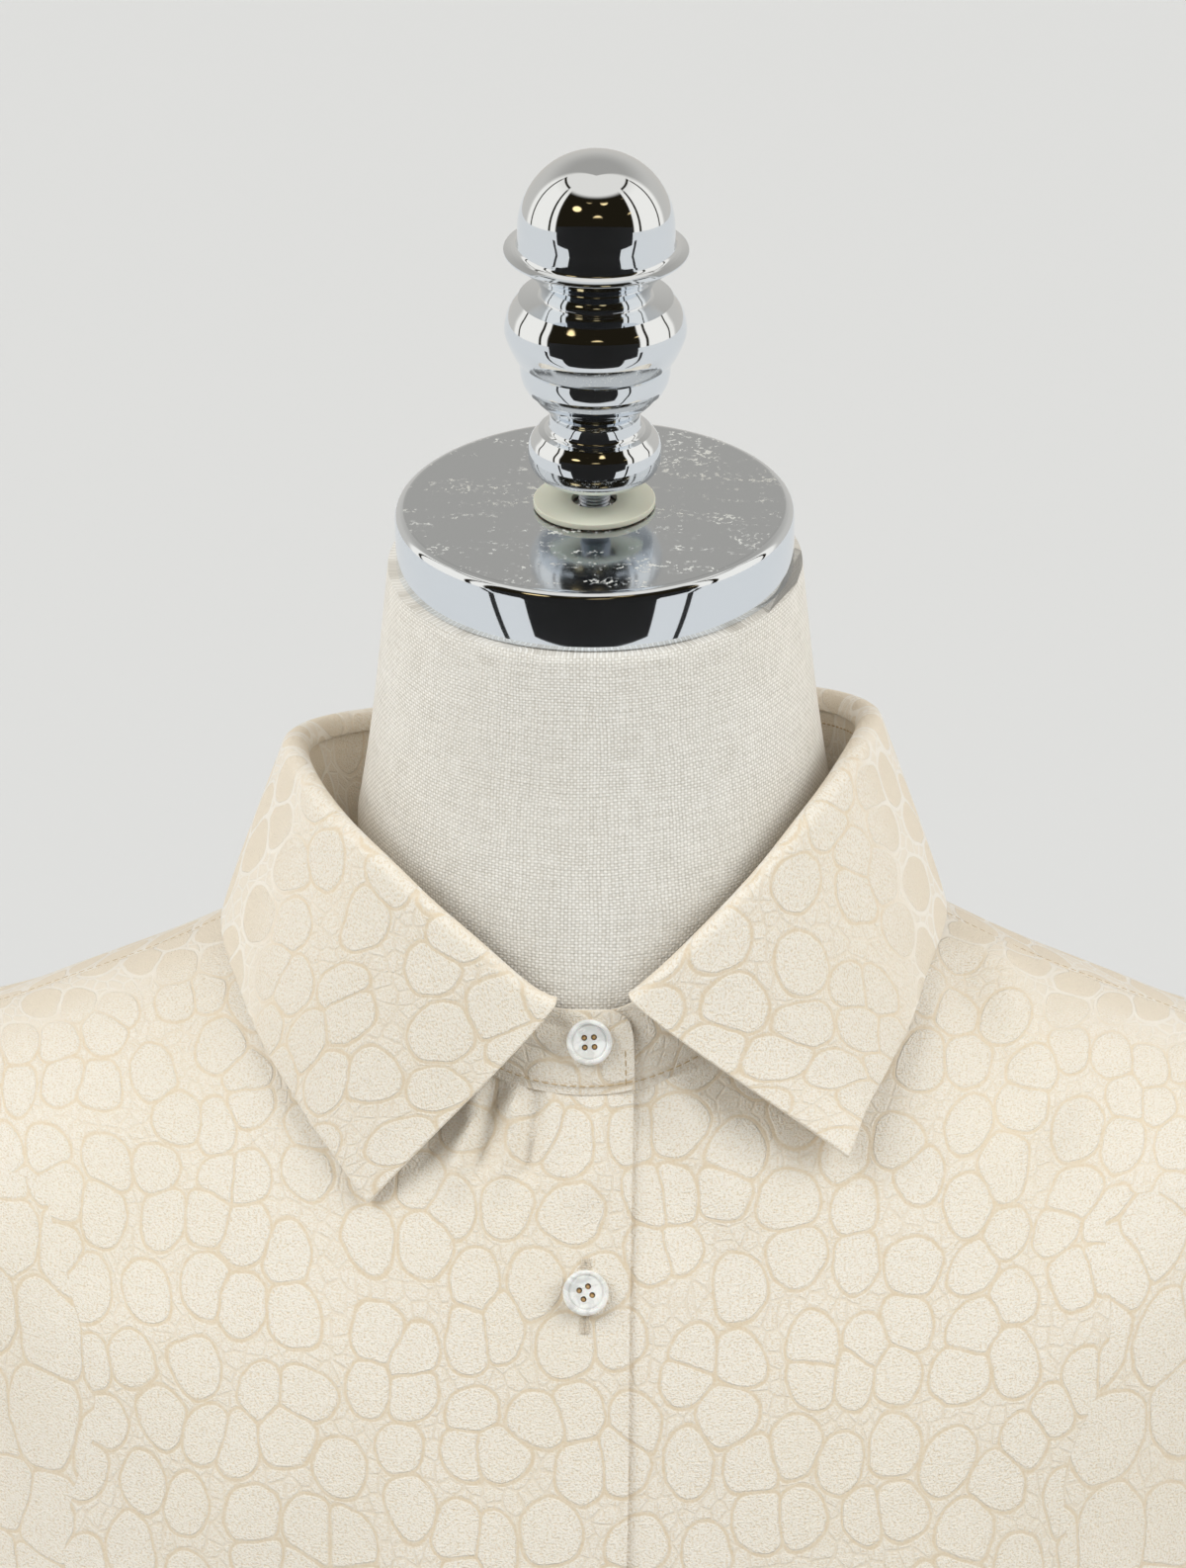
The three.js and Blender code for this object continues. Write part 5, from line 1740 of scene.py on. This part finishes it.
class BLOUSE_OT_sewing(BlouseOperator):
    """Sews the seams' edge stitching, the hems and the buttonholes"""

    bl_idname = "blouse.sewing"
    bl_label = "Stitching and buttonholes"

    def execute(self, context):
        cloth = context.scene.blouse_cloth
        rows = {
            "stand_stitches": self.stand_marks(),
            "yoke_stitches": self.yoke_marks(),
            "hem_stitches": self.hem_marks(),
            "cuff_stitches": self.cuff_marks(),
            "buttonholes": self.buttonhole_marks(),
        }
        for name, marks in rows.items():
            thread = worked_material(cloth) if name == "buttonholes" else thread_material(cloth)
            finish_mesh(stitches(name, marks, thread), name, "satin")
        return {"FINISHED"}

    def stand_marks(self):
        outer, angle, lifts = stand_grid()
        outwards = unit(stack(np.cos(angle), np.sin(angle), 0.0))
        # Along the neck seam, round the front ends, inside the top edge, and down both ends
        marks = stitch_row(stand_point(angle, 0.06, lifts[0]), outwards)
        for end in (slice(2, 60), slice(-60, -2)):
            marks += stitch_row(outer[-1, end] - stack(0, 0, 1.5), outwards[end])
        inside = outer[-1] - outwards * 1.3 - stack(0, 0, 3.2)
        marks += stitch_row(inside[::-1], -outwards[::-1], radius=0.24)
        for column in (3, -4):
            path = outer[1:-6, column]
            marks += stitch_row(path, np.broadcast_to(outwards[column], path.shape))
        return marks

    def yoke_marks(self):
        s = np.linspace(0.45, SHOULDER - 0.04, 60)
        turn = angle_at_y(1.8, s)
        _, (back, back_s) = yoke_and_back_grids()
        marks = []
        for angle, rings in ((turn, s), (np.pi - turn, s), (back[0], back_s[0] - 0.07)):
            marks += stitch_row(*row_on_body(angle, rings, 0.0), radius=0.16)
        return marks

    def hem_marks(self):
        _, back = yoke_and_back_grids()
        marks = []
        for angle, s, lift in (front_grid(True), front_grid(False), (*back, np.zeros(back[0].shape))):
            marks += stitch_row(*row_on_body(angle[-1, 1:-1], s[-1, 1:-1] - 0.12, lift[-1, 1:-1]))
        return marks

    def cuff_marks(self):
        marks = []
        for mirrored in (False, True):
            for down in (0.035, 0.965):
                along = np.linspace(0.006, 0.994, 260)
                path = cuff_point(cuff_turn(along), down, cuff_lift(along))
                middle = path.mean(axis=0)
                normal = unit((path - middle) * np.array([1, 1, 0]))
                if mirrored:
                    path, normal = mirror_x(path), mirror_x(normal)
                marks += stitch_row(path, normal)
        return marks

    def buttonhole_marks(self):
        aside = np.array([1.0, 0, 0])
        face, normal = stand_button_seat()
        marks = buttonhole(face - stack(3.4, -0.4, 0), aside, normal, 15)
        for angle, s in front_button_turns():
            place, normal = row_on_body(angle, s, LAYER_STEP)
            along = unit(np.cross(normal, aside))
            marks += buttonhole(place - along * 0.6, along, normal, 17)
        face, _, after = cuff_button_seat()
        across = unit(after - face)
        normal = unit(np.cross(UP, across))
        marks += buttonhole(face, across, normal, 15)
        marks += buttonhole(mirror_x(face), mirror_x(across), mirror_x(normal), 15)
        return marks


# The linen's length round the form for each degree, in mm
FORM_TURN_MM = 0.98


class BLOUSE_OT_form(BlouseOperator):
    """Builds the linen cover of the dress form"""

    bl_idname = "blouse.form"
    bl_label = "Form"

    def execute(self, context):
        columns, rows = 145, 191
        turn = np.linspace(0, 2 * np.pi, columns)
        angle, rings = np.meshgrid(turn, np.linspace(0, len(FORM_RINGS["z"]) - 1, rows))
        grid = form_point(angle, rings)
        uv = flat_place(np.degrees(angle) * FORM_TURN_MM, arc(grid, 0))
        faces = grid_faces(rows, columns, flip=faces_in(grid))
        linen = linen_material(context.scene.blouse_form)
        cover = new_mesh("form_cover", grid.reshape(-1, 3), faces, linen, {"cloth": uv.reshape(-1, 2)})
        take(cover)
        open_mesh()
        bpy.ops.mesh.remove_doubles(threshold=0.01 * MM)
        bpy.ops.mesh.select_all(action="DESELECT")
        bpy.ops.mesh.select_non_manifold()
        bpy.ops.mesh.edge_face_add()
        close_mesh()
        self.close(cover)
        finish_mesh(cover, "form_cover", "linen", "form_torso")
        return {"FINISHED"}

    def close(self, cover):
        """Fills the neck's cut and the bottom, and turns every face outwards."""
        mesh = bmesh.new()
        mesh.from_mesh(cover.data)
        bmesh.ops.holes_fill(mesh, edges=[edge for edge in mesh.edges if edge.is_boundary])
        bmesh.ops.recalc_face_normals(mesh, faces=mesh.faces)
        mesh.to_mesh(cover.data)
        mesh.free()


# The washer's radius, bore radius and height, and the stud's radius
WASHER = (15.4, 5.6, 1.6)
STUD_RADIUS = 4


class BLOUSE_OT_neck(BlouseOperator):
    """Builds the cap, washer, stud and finial on the form's neck"""

    bl_idname = "blouse.neck"
    bl_label = "Cap and finial"

    def execute(self, context):
        form = context.scene.blouse_form
        cap = turned(rounded_rim(CAP_RADIUS, CAP_HEIGHT, 0.6, 2.4), cap_material(form), 192, 30)
        self.crown(cap)
        washer = self.ring(*WASHER, nylon_material(form))
        stud = turned(thread_outline(STUD_RADIUS, FINIAL_LIFT - 3 * FIT_GAP), zinc_material(), 40, 20)
        finial = turned(finial_outline(), chrome_material(form), 128, 24)
        pieces = (
            (cap, up_neck(FIT_GAP), "cap", "chrome", "neck_cap"),
            (washer, up_neck(FIT_GAP * 2 + CAP_HEIGHT), "washer", "nylon", "finial_washer"),
            (stud, finial_axis(FIT_GAP * 1.5), "stud", "zinc", "finial_stud"),
            (finial, finial_axis(FINIAL_LIFT), "finial_turning", "chrome", "finial"),
        )
        for piece, place, *names in pieces:
            piece.data.transform(place)
            finish_mesh(piece, *names)
        return {"FINISHED"}

    def crown(self, cap):
        """Insets the cap's flat top, so that its shading stays flat up to the rim."""
        take(cap)
        open_mesh()
        bpy.ops.mesh.select_all(action="DESELECT")
        close_mesh()
        for polygon in cap.data.polygons:
            polygon.select = polygon.center.z > (CAP_HEIGHT - 0.01) * MM and polygon.normal.z > 0.9
        bpy.ops.object.mode_set(mode="EDIT")
        bpy.ops.mesh.inset(thickness=0.5 * MM)
        close_mesh()

    def ring(self, radius, bore, height, material):
        """A washer: a bevelled section spun round Z."""
        clear_selection()
        at = ((radius + bore) / 2 * MM, 0, height / 2 * MM)
        bpy.ops.mesh.primitive_plane_add(size=1, location=at)
        piece = bpy.context.active_object
        open_mesh()
        bpy.ops.transform.resize(value=((radius - bore) * MM, height * MM, 1), center_override=at)
        bpy.ops.transform.rotate(value=math.pi / 2, orient_axis="X", center_override=at)
        bpy.ops.mesh.bevel(offset=0.3 * MM, segments=3, affect="VERTICES")
        close_mesh()
        bpy.ops.object.transform_apply(location=True, rotation=True, scale=True)
        open_mesh()
        bpy.ops.mesh.delete(type="ONLY_FACE")
        bpy.ops.mesh.select_all(action="SELECT")
        bpy.ops.mesh.spin(steps=96, angle=2 * math.pi, center=(0, 0, 0), axis=(0, 0, 1))
        bpy.ops.mesh.select_all(action="SELECT")
        bpy.ops.mesh.remove_doubles(threshold=0.01 * MM)
        bpy.ops.mesh.normals_make_consistent(inside=False)
        close_mesh()
        bpy.ops.object.shade_smooth_by_angle(angle=math.radians(50))
        piece.data.materials.append(material)
        return piece


# Outlines of the base and of the socket over its own foot
BASE_HEIGHT = 30
BASE_OUTLINE = (
    (148.6, 0, 1),
    (149.7, 0.7, 0),
    (150, 2, 0),
    (149.2, 4.6, 0),
    (147, 7, 0),
    (120, 9.6, 0),
    (82, 12, 0),
    (32, 14, 0),
    (28, 16, 0),
    (26, 20, 0),
    (25, 26, 0),
    (23.4, 29.4, 0),
    (22, BASE_HEIGHT, 1),
    (1, BASE_HEIGHT, 1),
)
POLE_RADIUS = 14
SOCKET_HEIGHT = 26
SOCKET_OUTLINE = (
    (18.8, 0, 1),
    (19.7, 0.4, 0),
    (20, 1.4, 0),
    (20.4, 8, 0),
    (22, SOCKET_HEIGHT - 10.7, 0),
    (30, SOCKET_HEIGHT - 7.2, 0),
    (41.2, SOCKET_HEIGHT - 4.7, 0),
    (42, SOCKET_HEIGHT - 3.4, 0),
    (42, SOCKET_HEIGHT, 1),
)


class BLOUSE_OT_stand(BlouseOperator):
    """Builds the round base, the pole and the socket under the form"""

    bl_idname = "blouse.stand"
    bl_label = "Stand"

    def execute(self, context):
        chrome = chrome_material(context.scene.blouse_form)
        foot = BASE_HEIGHT + FIT_GAP
        head = FORM_BOTTOM - SOCKET_HEIGHT - 2 * FIT_GAP
        outlines = {
            "base": (eased_outline(BASE_OUTLINE), 0),
            "pole": (rounded_rim(POLE_RADIUS, head - foot, 0.5, 0.5), foot),
            "socket": (eased_outline(SOCKET_OUTLINE), head + FIT_GAP),
        }
        for node, (outline, height) in outlines.items():
            piece = turned(outline, chrome, 120, 34)
            piece.data.transform(Matrix.Translation((0, 0, height * MM)))
            finish_mesh(piece, f"{node}_turning", "chrome", node)
        return {"FINISHED"}


# The camera's aim and distance in metres, its angles in degrees and its lens in mm
TARGET = Vector((0, -0.030, 0.960))
CAMERA_AWAY = 1.5
CAMERA_YAW = 2.7
CAMERA_ELEVATION = 16
CAMERA_LENS = 136
AIM_UP = 1.147
AIM_ASIDE = -0.019

# The lamps: name, share of the soft light's strength, and the side that each shines from
LAMPS = (
    ("light_left", 1.0, (-0.8, -0.52, 0.72)),
    ("light_right", 0.9, (0.9, -0.48, 0.68)),
)
LAMP_ANGLE = 40
LAMP_COLOUR = (0.9, 0.955, 1.0)

# Dark cards for a painted reflection, in metres: name, across, forward, bottom, top and width
CARDS = (
    ("card_low", 0.0, -0.65, 0.25, 0.8, 1.05),
    ("card_high", 0.0, -0.66, 0.79, 1.25, 1.9),
    ("card_left", -0.6, -0.36, 0.1, 1.0, 0.09),
    ("card_right", 0.6, -0.36, 0.1, 1.0, 0.09),
)


class BLOUSE_OT_stage(BlouseOperator):
    """Builds the floor, the light and the camera"""

    bl_idname = "blouse.stage"
    bl_label = "Stage"

    def execute(self, context):
        stage = context.scene.blouse_stage
        clear_selection()
        bpy.ops.mesh.primitive_circle_add(vertices=96, radius=60, fill_type="NGON", location=(0, 0, 0))
        floor = bpy.context.active_object
        floor.name = "floor"
        floor.data.materials.append(floor_material(stage))
        self.dark_cards()
        context.scene.world = studio_world(stage)
        for name, share, towards in LAMPS:
            self.lamp(name, stage.sun * share, Vector(towards))
        self.camera()
        context.scene.view_settings.view_transform = "Standard"
        return {"FINISHED"}

    def dark_cards(self):
        """Stands dark cards before the form, low down, that only reflections show: a painted reflection of
        a dark room.
        """
        paint = Paint("dark card")
        cloud = paint.noise(paint.place(), 2.0, flat=False)
        black = paint.finish(
            Base_Color=paint.mix(cloud * 0.3, (0.005, 0.005, 0.006), (0.03, 0.03, 0.03)), Roughness=0.9)
        for name, x, y, low, high, width in CARDS:
            clear_selection()
            place = (x, y, (low + high) / 2)
            bpy.ops.mesh.primitive_plane_add(size=1, location=place, rotation=(math.pi / 2, 0, 0))
            card = bpy.context.active_object
            bpy.ops.object.transform_apply(location=True, rotation=True, scale=True)
            open_mesh()
            bpy.ops.transform.resize(value=(width, 1, high - low), center_override=place)
            close_mesh()
            card.name = name
            card.data.materials.append(black)
            for ray in ("camera", "diffuse", "transmission", "volume_scatter", "shadow"):
                setattr(card, f"visible_{ray}", False)

    def lamp(self, name, strength, towards):
        """A broad soft light that shines from one side, and that metal doesn't show."""
        light = bpy.data.lights.new(name, "SUN")
        light.energy = strength
        light.angle = math.radians(LAMP_ANGLE)
        light.color = LAMP_COLOUR
        lamp = bpy.data.objects.new(name, light)
        lamp.rotation_euler = towards.to_track_quat("Z", "Y").to_euler()
        lamp.location = towards * 3
        lamp.visible_glossy = False
        bpy.context.scene.collection.objects.link(lamp)

    def camera(self):
        yaw, lift = math.radians(CAMERA_YAW), math.radians(CAMERA_ELEVATION)
        away = Vector((math.sin(yaw) * math.cos(lift), -math.cos(yaw) * math.cos(lift), math.sin(lift)))
        lens = bpy.data.cameras.new("camera")
        lens.lens = CAMERA_LENS
        lens.sensor_width = 36
        lens.sensor_fit = "AUTO"
        lens.clip_start = 0.05
        lens.clip_end = 300
        camera = bpy.data.objects.new("camera", lens)
        look = away.to_track_quat("Z", "Y").to_matrix().to_4x4()
        for degrees, axis in ((AIM_UP, "X"), (AIM_ASIDE, "Y")):
            look = look @ Matrix.Rotation(math.radians(degrees), 4, axis)
        camera.matrix_world = Matrix.Translation(TARGET + away * CAMERA_AWAY) @ look
        bpy.context.scene.collection.objects.link(camera)
        bpy.context.scene.camera = camera


STEPS = (
    BLOUSE_OT_body,
    BLOUSE_OT_collar,
    BLOUSE_OT_sleeves,
    BLOUSE_OT_form,
    BLOUSE_OT_buttons,
    BLOUSE_OT_sewing,
    BLOUSE_OT_neck,
    BLOUSE_OT_stand,
    BLOUSE_OT_stage,
)
GROUPS = {
    "blouse_cloth": BLOUSE_PG_cloth,
    "blouse_form": BLOUSE_PG_form,
    "blouse_button": BLOUSE_PG_button,
    "blouse_stage": BLOUSE_PG_stage,
}


class BLOUSE_PT_panel(bpy.types.Panel):
    """Lists the sizes, the colours and the steps"""

    bl_label = "Blouse on a dress form"
    bl_idname = "BLOUSE_PT_panel"
    bl_space_type = "VIEW_3D"
    bl_region_type = "UI"
    bl_category = "Blouse"

    def draw(self, context):
        for name in GROUPS:
            box = self.layout.box()
            group = getattr(context.scene, name)
            for key in type(group).__annotations__:
                box.prop(group, key)
        for step in STEPS:
            self.layout.operator(step.bl_idname)


def register():
    for name, group in GROUPS.items():
        bpy.utils.register_class(group)
        setattr(bpy.types.Scene, name, bpy.props.PointerProperty(type=group))
    for made in (*STEPS, BLOUSE_PT_panel):
        bpy.utils.register_class(made)


def unregister():
    for made in (BLOUSE_PT_panel, *reversed(STEPS)):
        bpy.utils.unregister_class(made)
    for name, group in reversed(GROUPS.items()):
        delattr(bpy.types.Scene, name)
        bpy.utils.unregister_class(group)


def main():
    register()
    bpy.ops.blouse.body()
    bpy.ops.blouse.collar()
    bpy.ops.blouse.sleeves()
    bpy.ops.blouse.form()
    bpy.ops.blouse.buttons()
    bpy.ops.blouse.sewing()
    bpy.ops.blouse.neck()
    bpy.ops.blouse.stand()
    bpy.ops.blouse.stage()


if __name__ == "__main__":
    main()
